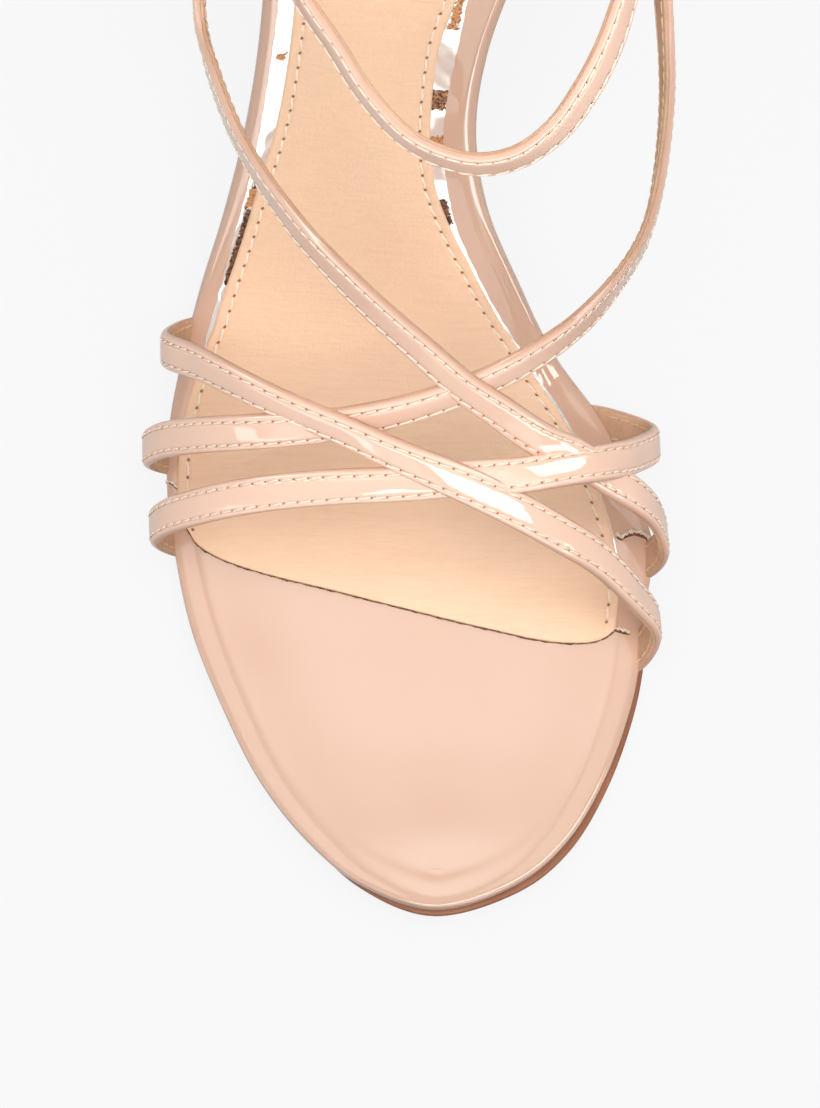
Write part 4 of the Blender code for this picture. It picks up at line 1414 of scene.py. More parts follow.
SOCK_INSET = (
    Sides(40.0, 1.8, 4.9),
    Sides(50.0, 1.8, 4.7),
    Sides(60.0, 1.8, 5.4),
    Sides(71.0, 1.7, 6.2),
    Sides(80.0, 2.1, 6.3),
    Sides(92.5, 3.1, 5.0),
    Sides(97.0, 3.7, 5.6),
    Sides(101.0, 3.75, 5.95),
    Sides(106.0, 3.8, 6.15),
    Sides(112.0, 3.85, 6.75),
    Sides(118.0, 3.95, 7.45),
    Sides(126.0, 4.6, 7.5),
    Sides(133.0, 4.8, 7.9),
    Sides(139.0, 4.9, 8.5),
    Sides(146.0, 5.0, 8.5),
    Sides(160.0, 3.2, 4.0),
    Sides(175.0, 2.2, 2.2),
    Sides(213.0, 2.0, 2.0),
)
SOCK_FRONT = (
    Front(0.0, 64.5),
    Front(0.014, 62.5),
    Front(0.026, 60.6),
    Front(0.06, 58.6),
    Front(0.10, 57.2),
    Front(0.20, 54.9),
    Front(0.317, 52.8),
    Front(0.41, 51.1),
    Front(0.528, 49.0),
    Front(0.627, 47.3),
    Front(0.725, 45.8),
    Front(0.816, 44.5),
    Front(0.88, 44.0),
    Front(0.921, 43.95),
    Front(0.957, 44.3),
    Front(0.981, 45.1),
    Front(1.0, 46.4),
)


class SockPlan(NamedTuple):
    """The sock's points seen from above: by row from the front and column from the outer side."""

    x: Array
    back: Array
    inside: Array
    ahead: Array
    behind: Array


@dataclass
class Sock:
    """The padded lining of the footbed, sewn along both sides."""

    stitch_in: float = 1.75
    pitch: float = 2.9
    base: float = 0.10
    edge_thick: float = 0.6
    edge_round: float = 0.5
    cushion: float = 0.4
    cushion_in: Pair = (1.2, 6.5)
    cushion_from: Pair = (0.0, 5.0)
    groove: float = 0.16
    groove_half: float = 0.38
    groove_from: Pair = (0.5, 2.0)
    tug: float = 0.9
    tug_reach: float = 0.5
    thick: float = 0.3
    fill: float = 0.9
    last: float = 209.0
    corner: float = 194.0
    corner_power: int = 16
    seam_last: float = 190.0
    nominal: float = 71.0
    room: float = 1.6
    from_side: tuple[float, ...] = (
        0.0, 0.07, 0.16, 0.3, 0.5, 0.75, 1.0, 1.2, 1.4, 1.55, 1.7, 1.85, 2.0, 2.2, 2.45, 2.8, 3.3, 4.0,
        5.0, 6.5, 8.5, 10.8,
    )
    from_front: tuple[float, ...] = (0.0, 0.07, 0.16, 0.3, 0.5, 0.8, 1.2, 1.8, 2.6, 3.6, 4.8)

    def edges(self, back: Any) -> tuple[Array, Array]:
        """Where the sock's outer and inner edges are, at a distance behind the toe."""
        outer = SOLE.edge_x(Side.OUTER, back) + read(SOCK_INSET, "outer", back)
        return outer, SOLE.edge_x(Side.INNER, back) - read(SOCK_INSET, "inner", back)

    def seam_x(self, side: Side, back: Any) -> Array:
        """Where one side's stitch line is, at a distance behind the toe."""
        outer, inner = self.edges(back)
        return (outer if side is Side.OUTER else inner) - side.value * self.stitch_in

    def seam(self, side: Side) -> tuple[Array, Array]:
        """One side's stitch line.

        Args:
            side: of the foot.

        Returns:
            The line's distances behind the toe, and the distance along it at each.
        """
        first = SOCK_FRONT[0 if side is Side.OUTER else -1].back + 1.2
        backs = np.arange(first, self.seam_last, 0.25)
        return backs, travel(SOLE.point(self.seam_x(side, backs), backs, -0.9))

    def plan(self) -> SockPlan:
        """Lays out the sock's points, closer together towards its edges.

        Returns:
            The points.
        """
        near = np.array(self.from_side)
        count = len(near)
        middle = np.linspace(near[-1] / self.nominal, 1.0 - near[-1] / self.nominal, 34)[1:-1]
        shares = np.concatenate([near / self.nominal, middle, 1.0 - near[::-1] / self.nominal])
        front = steady(column(SOCK_FRONT, "across"), column(SOCK_FRONT, "back"), shares)
        blunt = np.sqrt(1.0 - np.abs(2.0 * shares - 1.0) ** self.corner_power)
        end = self.corner + (self.last - self.corner) * blunt
        first = front[None] + np.array(self.from_front)[:, None]
        final = end[None] - np.array(self.from_front[3::-1])[:, None]
        run = np.linspace(0.0, 1.0, 190)[1:-1]
        between = first[-1][None] + (final[0] - first[-1])[None] * run[:, None]
        back = np.concatenate([first, between, final])
        outer, inner = self.edges(back)
        wide = inner - outer
        shrink = np.minimum(1.0, wide / 2 / (near[-1] + self.room))
        left = near * shrink[:, :count]
        right = wide[:, -count:] - near[::-1] * shrink[:, -count:]
        share = (np.arange(len(middle)) + 1.0) / (len(middle) + 1.0)
        first_in = near[-1] * shrink[:, count:-count]
        centre = first_in + (wide[:, count:-count] - 2 * first_in) * share
        from_outer = np.concatenate([left, centre, right], axis=1)
        inside = np.minimum(from_outer, wide - from_outer)
        return SockPlan(outer + from_outer, back, inside, back - front[None], end[None] - back)

    def pad(self, plan: SockPlan) -> None:
        """Makes the padded sheet with its sewn grooves and rounded edges.

        Args:
            plan: the sock's points from above.
        """
        along = np.empty_like(plan.back)
        left = np.arange(plan.back.shape[1]) < plan.back.shape[1] // 2
        for side, chosen in ((Side.OUTER, left), (Side.INNER, ~left)):
            backs, stops = self.seam(side)
            rest = (np.floor(stops[-1] / self.pitch) + 0.5) * self.pitch
            along[:, chosen] = np.interp(plan.back[:, chosen], backs, stops, right=rest)
            along[:, chosen] += np.minimum(plan.back[:, chosen] - backs[0], 0.0)
        rim = np.minimum(np.minimum(plan.inside, plan.ahead), plan.behind)
        round_edge = np.sqrt(1.0 - (1.0 - np.clip(rim / self.edge_round, 0.0, 1.0)) ** 2)
        swell = ease(*self.cushion_in, plan.inside) * ease(*self.cushion_from, plan.ahead)
        tight = 1.0 + self.tug * bell(from_hole(along, self.pitch), self.tug_reach)
        sewn = bell(plan.inside - self.stitch_in, self.groove_half) * ease(*self.groove_from, plan.ahead)
        rise = self.base + self.edge_thick * round_edge + self.cushion * swell - self.groove * sewn * tight
        spots = FOOTBED.above(plan.x, plan.back, rise)
        beside = plan.inside + 0.4
        mark = np.where(plan.ahead < 0.45, np.minimum(plan.ahead, beside), beside)
        piece = Bench.sheet("sock_pad", spots, along, mark)
        Bench.thicken(piece, self.thick)
        Bench.close(piece, fill=False)
        settle(piece, SOCK_LEATHER, "sock", degrees=60.0)

    def front_edge(self, plan: SockPlan) -> None:
        """Makes the raw cut front edge, an uneven dark bead along the sock.

        Args:
            plan: the sock's points from above.
        """
        line = np.stack([plan.x[0], plan.back[0]], axis=1)
        stops = travel(line)
        even = np.linspace(0.6, stops[-1] - 0.6, 520)
        x, back = resample(even, stops, line).T
        wander = 0.04 * np.sin(even * 1.7) + 0.03 * np.sin(even * 4.3 + 1.0) + 0.03 * np.sin(even * 9.1)
        size = 0.10 + 0.03 * np.sin(even * 0.9 + 2.0) + 0.03 * np.sin(even * 3.1) + 0.02 * np.sin(even * 11.0)
        bead = SOLE.point(x, back - 0.03 + wander, FOOTBED.top(x, back) - 0.36)
        settle(tube("sock_cut_edge", bead, size, 8, closed=False), CUT_EDGE_AND_GAP_SHADOW)

    def stitches(self) -> None:
        """Sews both sides."""
        for side in Side:
            backs, stops = self.seam(side)
            places = np.arange(self.pitch / 2, stops[-1], self.pitch)
            at = np.interp(places, stops, backs)
            rise = self.base + self.edge_thick - self.groove + 0.14
            spots, later = (FOOTBED.above(self.seam_x(side, b), b, rise) for b in (at, at + 0.5))
            run = unit(later - spots)
            slope = SOLE.slope(at)
            up = np.stack([np.zeros(len(at)), -np.sin(slope), np.cos(slope)], axis=1)
            up = unit(up - run * np.sum(up * run, axis=1, keepdims=True))
            name = f"sock_stitches_{side.name.lower()}"
            Stitch(2.3, 0.21, 7.0).sew(name, spots, run, up, CREAM_THREAD)

    def build(self) -> None:
        """Makes the sock and sews it."""
        plan = self.plan()
        self.pad(plan)
        self.front_edge(plan)
        self.stitches()


class Strip(NamedTuple):
    """The foil's two edges, as distances in from the footbed's edge."""

    back: float
    far: float
    near: float


@dataclass
class FoilTrim:
    """Creased mirror strips that show between the sock and the patent in the waist."""

    outer: tuple[Strip, ...] = (
        Strip(92.0, 3.4, 2.95),
        Strip(94.0, 3.9, 2.88),
        Strip(98.0, 4.3, 2.85),
        Strip(102.0, 4.3, 2.85),
        Strip(105.0, 4.3, 2.60),
        Strip(109.0, 4.4, 2.38),
        Strip(115.0, 4.5, 2.32),
        Strip(121.5, 4.8, 2.30),
        Strip(127.3, 5.2, 2.22),
        Strip(133.0, 5.3, 2.15),
        Strip(144.6, 5.5, 2.45),
        Strip(154.0, 4.4, 2.6),
        Strip(162.0, 3.2, 2.6),
    )
    inner: tuple[Strip, ...] = (
        Strip(56.0, 5.7, 5.05),
        Strip(70.0, 6.4, 5.75),
        Strip(80.0, 6.6, 5.80),
        Strip(92.0, 5.4, 4.50),
        Strip(97.0, 6.1, 5.12),
        Strip(101.0, 6.5, 5.52),
        Strip(106.0, 6.7, 5.58),
        Strip(112.0, 7.3, 5.65),
        Strip(118.0, 8.0, 5.48),
        Strip(124.0, 8.1, 5.40),
        Strip(130.0, 8.2, 5.30),
        Strip(135.7, 8.8, 5.35),
        Strip(138.6, 9.1, 5.55),
        Strip(141.5, 9.1, 6.05),
        Strip(144.5, 9.2, 6.60),
        Strip(152.0, 6.6, 4.6),
        Strip(162.0, 3.6, 2.6),
    )
    step: float = 0.45
    columns: int = 15
    rise: float = 0.20
    crease: float = 0.02
    thick: float = 0.12

    def strip(self, side: Side, table: Sequence[Strip], finish: Finish) -> None:
        """Lays one strip.

        Args:
            side: of the foot.
            table: the strip's two edges.
            finish: the strip's foil.
        """
        back = np.arange(table[0].back, table[-1].back, self.step)[:, None]
        far, near = read(table, "far", back), read(table, "near", back)
        share = np.linspace(0.0, 1.0, self.columns)
        inset = near + (far - near) * share
        if side is Side.INNER:
            inset = inset[:, ::-1]
            share = share[::-1]
        wander = np.sin(back * 1.9) * 0.05 + np.sin(back * 3.7 + 1.0) * 0.03
        x = SOLE.edge_x(side, back) - side.value * (inset + wander)
        crease = np.sin(back * 0.8 + inset * 1.1) + 0.5 * np.sin(back * 1.9 - inset * 1.4)
        spots = FOOTBED.above(x, back, self.rise + self.crease * crease)
        piece = Bench.sheet(f"foil_trim_{side.name.lower()}", spots, back, share)
        Bench.thicken(piece, self.thick)
        Bench.close(piece, fill=False)
        settle(piece, finish, degrees=60.0)

    def build(self) -> None:
        """Lays both strips."""
        self.strip(Side.OUTER, self.outer, OUTER_FOIL)
        self.strip(Side.INNER, self.inner, INNER_FOIL)


# Heel and counter


class HeelSection(NamedTuple):
    """A level section of the heel: its back, its breast and its half width."""

    level: float
    back: float
    breast: float
    half_width: float


@dataclass
class Heel:
    """The slim covered heel and its tip."""

    seat: HeelSection = HeelSection(86.0, 215.9, 170.0, 26.2)
    sections: tuple[HeelSection, ...] = (
        HeelSection(74.0, 212.2, 173.5, 21.4),
        HeelSection(66.0, 209.8, 178.2, 16.6),
        HeelSection(56.0, 207.0, 183.2, 12.2),
        HeelSection(44.0, 204.2, 187.0, 8.9),
        HeelSection(30.0, 201.8, 189.2, 6.6),
        HeelSection(16.0, 200.0, 190.2, 5.2),
        HeelSection(6.15, 199.2, 190.3, 4.7),
    )
    tip: tuple[HeelSection, ...] = (
        HeelSection(6.1, 199.0, 190.5, 4.5),
        HeelSection(6.0, 199.25, 190.25, 4.75),
        HeelSection(3.5, 199.3, 190.2, 4.8),
        HeelSection(1.2, 199.4, 190.1, 4.9),
        HeelSection(0.5, 199.35, 190.15, 4.85),
        HeelSection(0.15, 199.2, 190.3, 4.7),
        HeelSection(0.0, 198.9, 190.6, 4.4),
    )
    middle: float = 0.60
    breast_power: float = 0.45
    sides: int = 96
    neck: float = 60.0
    seat_depth: float = 4.3
    tuck: float = 0.15
    snug_from: Pair = (62.0, 84.0)
    climb_from: Pair = (50.0, 86.0)

    def ring(self, section: HeelSection) -> Array:
        """One section: round at the back and squarer at the breast.

        Args:
            section: its level and size.

        Returns:
            The section's points, as rows.
        """
        angle = np.linspace(0.0, 2 * math.pi, self.sides + 1) + math.pi / 2
        across, along = np.cos(angle), np.sin(angle)
        middle = section.breast + (section.back - section.breast) * self.middle
        square = np.sign(across) * np.abs(across) ** self.breast_power
        x = np.where(along >= 0, across, square)
        behind = middle + (section.back - middle) * along
        before = middle - (middle - section.breast) * np.abs(along) ** self.breast_power
        back = np.where(along >= 0, behind, before)
        x = SOLE.HEEL_END[0] + section.half_width * x
        return np.stack([x, back, np.full(len(x), section.level)], axis=1)

    def snug(self, ring: Array, foot: Array, share: float) -> Array:
        """Draws a ring in under the counter's foot.

        Args:
            ring: the heel's section.
            foot: the counter's lower edge, from the outer side round to the inner.
            share: how far the ring is drawn in.

        Returns:
            The section, no wider than the counter.
        """
        last = int(np.argmax(foot[:, 1]))
        low = np.interp(ring[:, 1], foot[: last + 1, 1], foot[: last + 1, 0])
        high = np.interp(ring[:, 1], foot[:last:-1, 1], foot[:last:-1, 0])
        drawn = np.clip(ring[:, 0], low, high)
        return np.column_stack([ring[:, 0] + (drawn - ring[:, 0]) * share, ring[:, 1:]])

    def build_cover(self) -> None:
        """Makes the covered heel, from its seat under the footbed to the tip."""
        counter = Counter()
        foot = counter.face(np.array([0.0]), counter.wall - self.tuck)[:, 0]
        table = [self.seat, *self.sections][::-1]
        place = column(table, "level")
        slim = np.linspace(place[0], self.neck, 60)
        levels = np.concatenate([slim, np.linspace(self.neck, place[-1], 34)[1:]])
        sizes = (steady(place, column(table, name), levels) for name in HeelSection._fields[1:])
        rings = []
        for section in map(HeelSection, levels, *sizes):
            ring = self.snug(self.ring(section), foot, float(ease(*self.snug_from, section.level)))
            top = SOLE.height(ring[:, 1]) - self.seat_depth / np.cos(SOLE.slope(ring[:, 1]))
            ring[:, 2] += (top - self.seat.level) * ease(*self.climb_from, section.level)
            rings.append(ring)
        piece = Bench.sheet("heel_cover", np.stack(rings), levels)
        Bench.close(piece)
        settle(piece, COVER_PATENT, "heel")

    def build_tip(self) -> None:
        """Makes the tip that the heel stands on."""
        sections = self.tip[::-1]
        spots = np.stack([self.ring(section) for section in sections])
        piece = Bench.sheet("heel_top_piece", spots, column(sections, "level"))
        Bench.close(piece)
        settle(piece, TIP_RUBBER, "heel_tip", degrees=40.0)

    def build(self) -> None:
        """Makes the heel and its tip."""
        self.build_cover()
        self.build_tip()


class CounterTop(NamedTuple):
    """The counter's top edge: its height, and how far it stands out past the footbed."""

    back: float
    top: float
    out: float


@dataclass
class Counter:
    """The closed heel cup: a patent wall with a bound top edge, lined inside."""

    wall: float = 1.8
    lining: float = 0.25
    lined: Pair = (0.06, 0.985)
    front: float = 148.0
    swell: float = 0.8
    curve: float = 1.6
    bed: float = 5.0
    seam_drop: float = 2.3
    seam_end: float = 3.0
    pitch: float = 2.5
    columns: int = 200
    levels: int = 44
    rows: tuple[CounterTop, ...] = (
        CounterTop(148.0, 66.0, 0.0),
        CounterTop(152.0, 82.0, 0.6),
        CounterTop(156.0, 100.0, 1.4),
        CounterTop(160.0, 116.0, 2.2),
        CounterTop(165.0, 129.0, 2.6),
        CounterTop(171.0, 136.0, 1.8),
        CounterTop(180.0, 140.5, 0.0),
        CounterTop(195.0, 146.0, -5.6),
        CounterTop(206.0, 147.5, -10.8),
        CounterTop(213.0, 148.0, -15.2),
    )

    def line(self) -> tuple[Array, Array]:
        """Follows the footbed's outline round the heel.

        Returns:
            The line from the outer front to the inner, and its outward directions.
        """
        parts = []
        for side in Side:
            edge = SOLE.edges[side]
            start = (float(SOLE.edge_x(side, self.front)), self.front)
            parts.append(np.vstack([start, edge[edge[:, 1] > self.front]]))
        whole = np.vstack([parts[0], parts[1][-2::-1]])
        stops = travel(whole)
        even = np.linspace(0.0, stops[-1], self.columns + 1)
        whole = soften(resample(even, stops, whole), 3)
        run = np.gradient(whole, axis=0)
        return whole, unit(np.stack([-run[:, 1], run[:, 0]], axis=1))

    def face(self, share: Array, wall: float) -> Array:
        """Finds points of the counter's wall.

        Args:
            share: how far up the wall, from 0 to 1.
            wall: how far out from its inner face.

        Returns:
            The points, by place along the outline and share.
        """
        line, out = self.line()
        back = line[:, 1]
        low = SOLE.point(line[:, 0], back, self.bed - 0.3)[:, 2]
        top, lean = (soften(read(self.rows, name, back), 5) for name in ("top", "out"))
        z = low[:, None] + (top - low)[:, None] * share
        bulge = self.swell * np.sin(np.pi * share)
        reach = 0.3 + lean[:, None] * share**self.curve + bulge[None] + wall
        reach = reach + (self.bed * np.sin(SOLE.slope(back)) * np.maximum(out[:, 1], 0.0))[:, None]
        spots = line[:, None] + out[:, None] * reach[..., None]
        return np.concatenate([spots, z[..., None]], axis=2)

    def build_wall(self) -> None:
        """Makes the patent wall with its rounded top edge."""
        up = np.linspace(0.0, 1.0, self.levels)
        inside = self.face(up, self.lining)
        outside = self.face(up, self.wall)
        middle = (inside[:, -1] + outside[:, -1]) / 2
        half = (outside[:, -1] - inside[:, -1]) / 2
        rise = np.array([0.0, 0.0, 1.0]) * np.linalg.norm(half, axis=1)[:, None]
        turn = np.linspace(0.0, math.pi, 9)[1:-1]
        over = middle[:, None] - half[:, None] * np.cos(turn)[None, :, None]
        over = over + rise[:, None] * np.sin(turn)[None, :, None]
        spots = np.concatenate([inside, over, outside[:, ::-1], inside[:, :1]], axis=1)
        piece = Bench.sheet("counter_wall", spots, np.arange(len(spots)))
        Bench.close(piece)
        settle(piece, COVER_PATENT, "counter")

    def build_lining(self) -> None:
        """Lines the inside with pale leather, down to the sock."""
        spots = self.face(np.linspace(*self.lined, self.levels), 0.10)[:, ::-1]
        piece = Bench.sheet("counter_lining", spots, np.arange(len(spots)))
        Bench.thicken(piece, self.lining)
        Bench.close(piece, fill=False)
        settle(piece, COUNTER_LEATHER)

    def build_seam(self) -> None:
        """Sews a row below the top edge."""
        fine = self.face(np.array([0.90, 0.97, 1.0]), self.wall)
        top = fine[:, 2]
        down = unit(fine[:, 0] - top)
        line = top + down * self.seam_drop
        stops = travel(line)
        places = np.arange(self.seam_end, stops[-1] - self.seam_end, self.pitch)
        spots = resample(places, stops, line)
        run = unit(resample(places + 0.5, stops, line) - spots)
        out = unit(np.cross(resample(places, stops, down), run))
        inner, outer = (self.face(np.array([0.95]), wall)[:, 0] for wall in (0.0, 1.0))
        toward = resample(places, stops, outer - inner)
        out = out * np.sign(np.sum(out * toward, axis=1, keepdims=True))
        Stitch(2.0, 0.22, 5.0).sew("counter_stitches", spots + out * 0.06, run, out, CREAM_THREAD)

    def build(self) -> None:
        """Makes the wall, its lining and its seam."""
        self.build_wall()
        self.build_lining()
        self.build_seam()


# Straps


class Row(NamedTuple):
    """A point of a strap's middle line.

    Lean turns the strap's face up from level, in degrees; where it is None the strap faces away
    from the middle of the foot.
    """

    x: float
    back: float
    z: float
    lean: Optional[float] = None


class Tuck(NamedTuple):
    """Where a strap's end runs in under the footbed's edge."""

    side: Side
    back: float


FOOT_CORE = (
    (2.0, 5.0, 10.0),
    (2.0, 45.0, 16.0),
    (1.0, 70.0, 18.0),
    (0.0, 88.0, 26.0),
    (0.0, 110.0, 50.0),
)
ANKLE_MIDDLE = (1.0, 155.0)


class Route(NamedTuple):
    """A strap's way: its middle line, tangents and outward directions at even steps."""

    line: Array
    along: Array
    out: Array
    FINE = 24
    TURN_REACH = 2.5

    @property
    def across(self) -> Array:
        """The direction across the strap."""
        return np.cross(self.along, self.out)

    @property
    def stops(self) -> Array:
        """The distance from the start at each sample."""
        return travel(self.line)

    def sweep(self, aside: Array, height: Array) -> Array:
        """The points across and out from the middle line, by sample and column."""
        aside, height = aside[..., None], height[..., None]
        return self.line[:, None] + self.across[:, None] * aside + self.out[:, None] * height

    def at(self, stops: Any) -> tuple[Array, Array, Array]:
        """The middle line, tangents and outward directions at distances from the start."""
        line, along, out = (resample(stops, self.stops, rows) for rows in self)
        return line, unit(along), unit(out)

    @classmethod
    def through(cls, rows: Sequence[Row], step: float = 0.5, reach: float = 3.0) -> "Route":
        """Finds the way through rows.

        Args:
            rows: points of the strap's middle line.
            step: from sample to sample.
            reach: how far turns are softened.

        Returns:
            The route.
        """
        spots = np.array([row[:3] for row in rows])
        turns = cls._turns(rows, spots)
        line = smooth(spots, cls.FINE)
        shares = np.linspace(0, len(rows) - 1, len(line))
        out = resample(shares, range(len(rows)), turns)
        stops = travel(line)
        even = np.linspace(0.0, stops[-1], int(stops[-1] / step) + 1)
        line = soften(resample(even, stops, line), max(1, int(reach / step / 2)))
        out = soften(resample(even, stops, out), int(cls.TURN_REACH * reach / step))
        along = unit(np.gradient(line, axis=0))
        out = unit(out - along * np.sum(out * along, axis=1, keepdims=True))
        return cls(line, along, out)

    @staticmethod
    def _turns(rows: Sequence[Row], spots: Array) -> Array:
        """Finds the direction that each row faces.

        Args:
            rows: points of the strap's middle line.
            spots: the same points, as an array.

        Returns:
            The directions.
        """
        along = unit(np.gradient(spots, axis=0))
        core = smooth(FOOT_CORE, 12)
        found = []
        for spot, forward, row in zip(spots, along, rows):
            if row.lean is None:
                away = spot - core[np.argmin(np.linalg.norm(spot - core, axis=1))]
            else:
                level = unit((forward[1], -forward[0], 0.0))
                level = level * math.copysign(1.0, level[:2] @ (spot[:2] - ANKLE_MIDDLE))
                steep = np.cross(forward, level)
                steep = steep * math.copysign(1.0, steep[2])
                lean = math.radians(row.lean)
                away = level * math.cos(lean) + steep * math.sin(lean)
            found.append(unit(away - forward * (away @ forward)))
        return np.array(found)


class Face(NamedTuple):
    """A point of the strap's section: the distance from its middle, and its height."""

    aside: float
    height: float


STRAP_FACE = (
    Face(0.0, 0.90),
    Face(0.8, 0.89),
    Face(1.3, 0.86),
    Face(1.9, 0.80),
    Face(2.2, 0.80),
    Face(2.45, 0.72),
    Face(2.68, 0.56),
    Face(2.86, 0.32),
    Face(2.96, 0.08),
    Face(3.0, -0.12),
)
STRAP_UNDER = (Face(2.99, -0.24), Face(2.9, -0.34), Face(2.6, -0.38), Face(1.2, -0.38), Face(0.0, -0.38))
LINING_FACE = (
    Face(0.0, -0.34),
    Face(2.0, -0.34),
    Face(2.86, -0.36),
    Face(2.92, -0.5),
    Face(2.9, -0.74),
    Face(2.75, -0.86),
    Face(2.3, -0.90),
    Face(0.0, -0.90),
)


@dataclass
class Strap:
    """A patent strap over a tan lining, sewn along both edges."""

    name: str
    route: Route
    node: str
    end_taper: float
    stitch_from: float
    stitch_to: float
    half: float = 3.0
    row: float = 1.9
    pitch: float = 2.5
    groove: float = 0.12
    groove_half: float = 0.30
    tug: float = 0.20
    tug_reach: float = 0.45
    columns: tuple[float, ...] = (
        0.0, 0.5, 0.9, 1.25, 1.48, 1.62, 1.74, 1.83, 1.9, 1.97, 2.06, 2.17, 2.3,
        2.45, 2.58, 2.68, 2.78, 2.86, 2.92, 2.96, 2.99,
    )
    under_marks: tuple[float, ...] = (0.15, 0.35, 0.6, 1.9, 3.4)
    lining_share: float = 0.995

    def taper(self, stops: Array) -> Array:
        """How wide the strap is near a rounded free end, as a share.

        Args:
            stops: distances along the strap.

        Returns:
            The shares.
        """
        if not self.end_taper:
            return np.ones(len(stops))
        left = np.clip((stops[-1] - stops) / self.end_taper, 0.0, 1.0)
        return np.maximum(np.sqrt(1.0 - (1.0 - left) ** 2), 0.04)

    def heights(self, aside: Array, stops: Array) -> Array:
        """How high the rounded face is.

        Args:
            aside: distances from the strap's middle.
            stops: distances along the strap.

        Returns:
            The heights, by stop and distance.
        """
        round_face = steady(column(STRAP_FACE, "aside"), column(STRAP_FACE, "height"), np.abs(aside))
        pull = self.groove + self.tug * bell(from_hole(stops, self.pitch), self.tug_reach)
        sewn = bell(np.abs(aside) - self.row, self.groove_half)
        wave = 0.025 * np.sin(stops * 0.55 + aside.mean()) + 0.02 * np.sin(stops * 0.23 + 1.0)
        middle = np.clip(1.0 - np.abs(aside) / 2.2, 0.0, 1.0)
        return round_face[None] - pull[:, None] * sewn[None] + wave[:, None] * middle[None]

    def build_cover(self) -> None:
        """Makes the patent cover."""
        near = np.array(self.columns)
        aside = np.concatenate([-near[:0:-1], near])
        stops = self.route.stops
        under = np.array(STRAP_UNDER)
        sides = np.concatenate([-under[::-1, 0], aside, under[:, 0]])
        beyond = self.half + np.array(self.under_marks)
        mark = np.concatenate([-beyond[::-1], aside, beyond])
        low = np.tile(under[:, 1], (len(stops), 1))
        height = np.concatenate([low[:, ::-1], self.heights(aside, stops), low], axis=1)
        spots = self.route.sweep(sides * self.taper(stops)[:, None], height)
        piece = Bench.sheet(f"{self.name}_cover", spots, stops, mark)
        Bench.close(piece)
        settle(piece, SEWN_PATENT, self.node)

    def build_lining(self) -> None:
        """Makes the lining on the strap's inner face."""
        loop = mirrored(LINING_FACE)
        stops = self.route.stops
        kept = np.unique(np.append(np.arange(0, len(stops), 2), len(stops) - 1))
        width = self.taper(stops)[kept] * self.lining_share
        way = Route(*(rows[kept] for rows in self.route))
        height = np.broadcast_to(loop[:, 1], (len(kept), len(loop)))
        spots = way.sweep(loop[:, 0] * width[:, None], height)
        piece = Bench.sheet(f"{self.name}_lining", spots, stops[kept], loop[:, 0])
        Bench.close(piece)
        settle(piece, STRAP_LINING)

    def build_stitches(self) -> None:
        """Sews both edges, with the same rows showing on the lining."""
        stops = self.route.stops
        last = stops[-1] - self.stitch_to
        places = np.arange(math.ceil(self.stitch_from / self.pitch) + 0.5, last / self.pitch) * self.pitch
        line, along, out = self.route.at(places)
        across = np.cross(along, out)
        share = np.interp(places, stops, self.taper(stops))
        beside = across * (self.row * share)[:, None]
        middle = np.vstack([line - beside, line + beside])
        runs, outs = np.tile(along, (2, 1)), np.tile(out, (2, 1))
        top = 0.80 - self.groove + 0.10
        faces = (("stitches", top, 1.0, CREAM_THREAD), ("lining_stitches", 0.93, -1.0, TAN_THREAD))
        for kind, height, way, finish in faces:
            spots = middle + outs * way * height
            Stitch(2.3, 0.165, 5.0).sew(f"{self.name}_{kind}", spots, runs, outs * way, finish)

    def build(self) -> None:
        """Makes the strap's cover, lining and stitches."""
        self.build_cover()
        self.build_lining()
        self.build_stitches()


def tuck_rows(tuck: Tuck) -> list[Row]:
    """Runs a strap's end in under the footbed's edge.

    Args:
        tuck: where it runs in.

    Returns:
        The rows, from the inside out.
    """
    edge = float(SOLE.edge_x(tuck.side, tuck.back))
    inside = SOLE.point(edge - tuck.side.value * 6.5, tuck.back, 3.5)
    under = SOLE.point(edge - tuck.side.value * 1.5, tuck.back, 3.5)
    return [Row(*inside), Row(*under)]


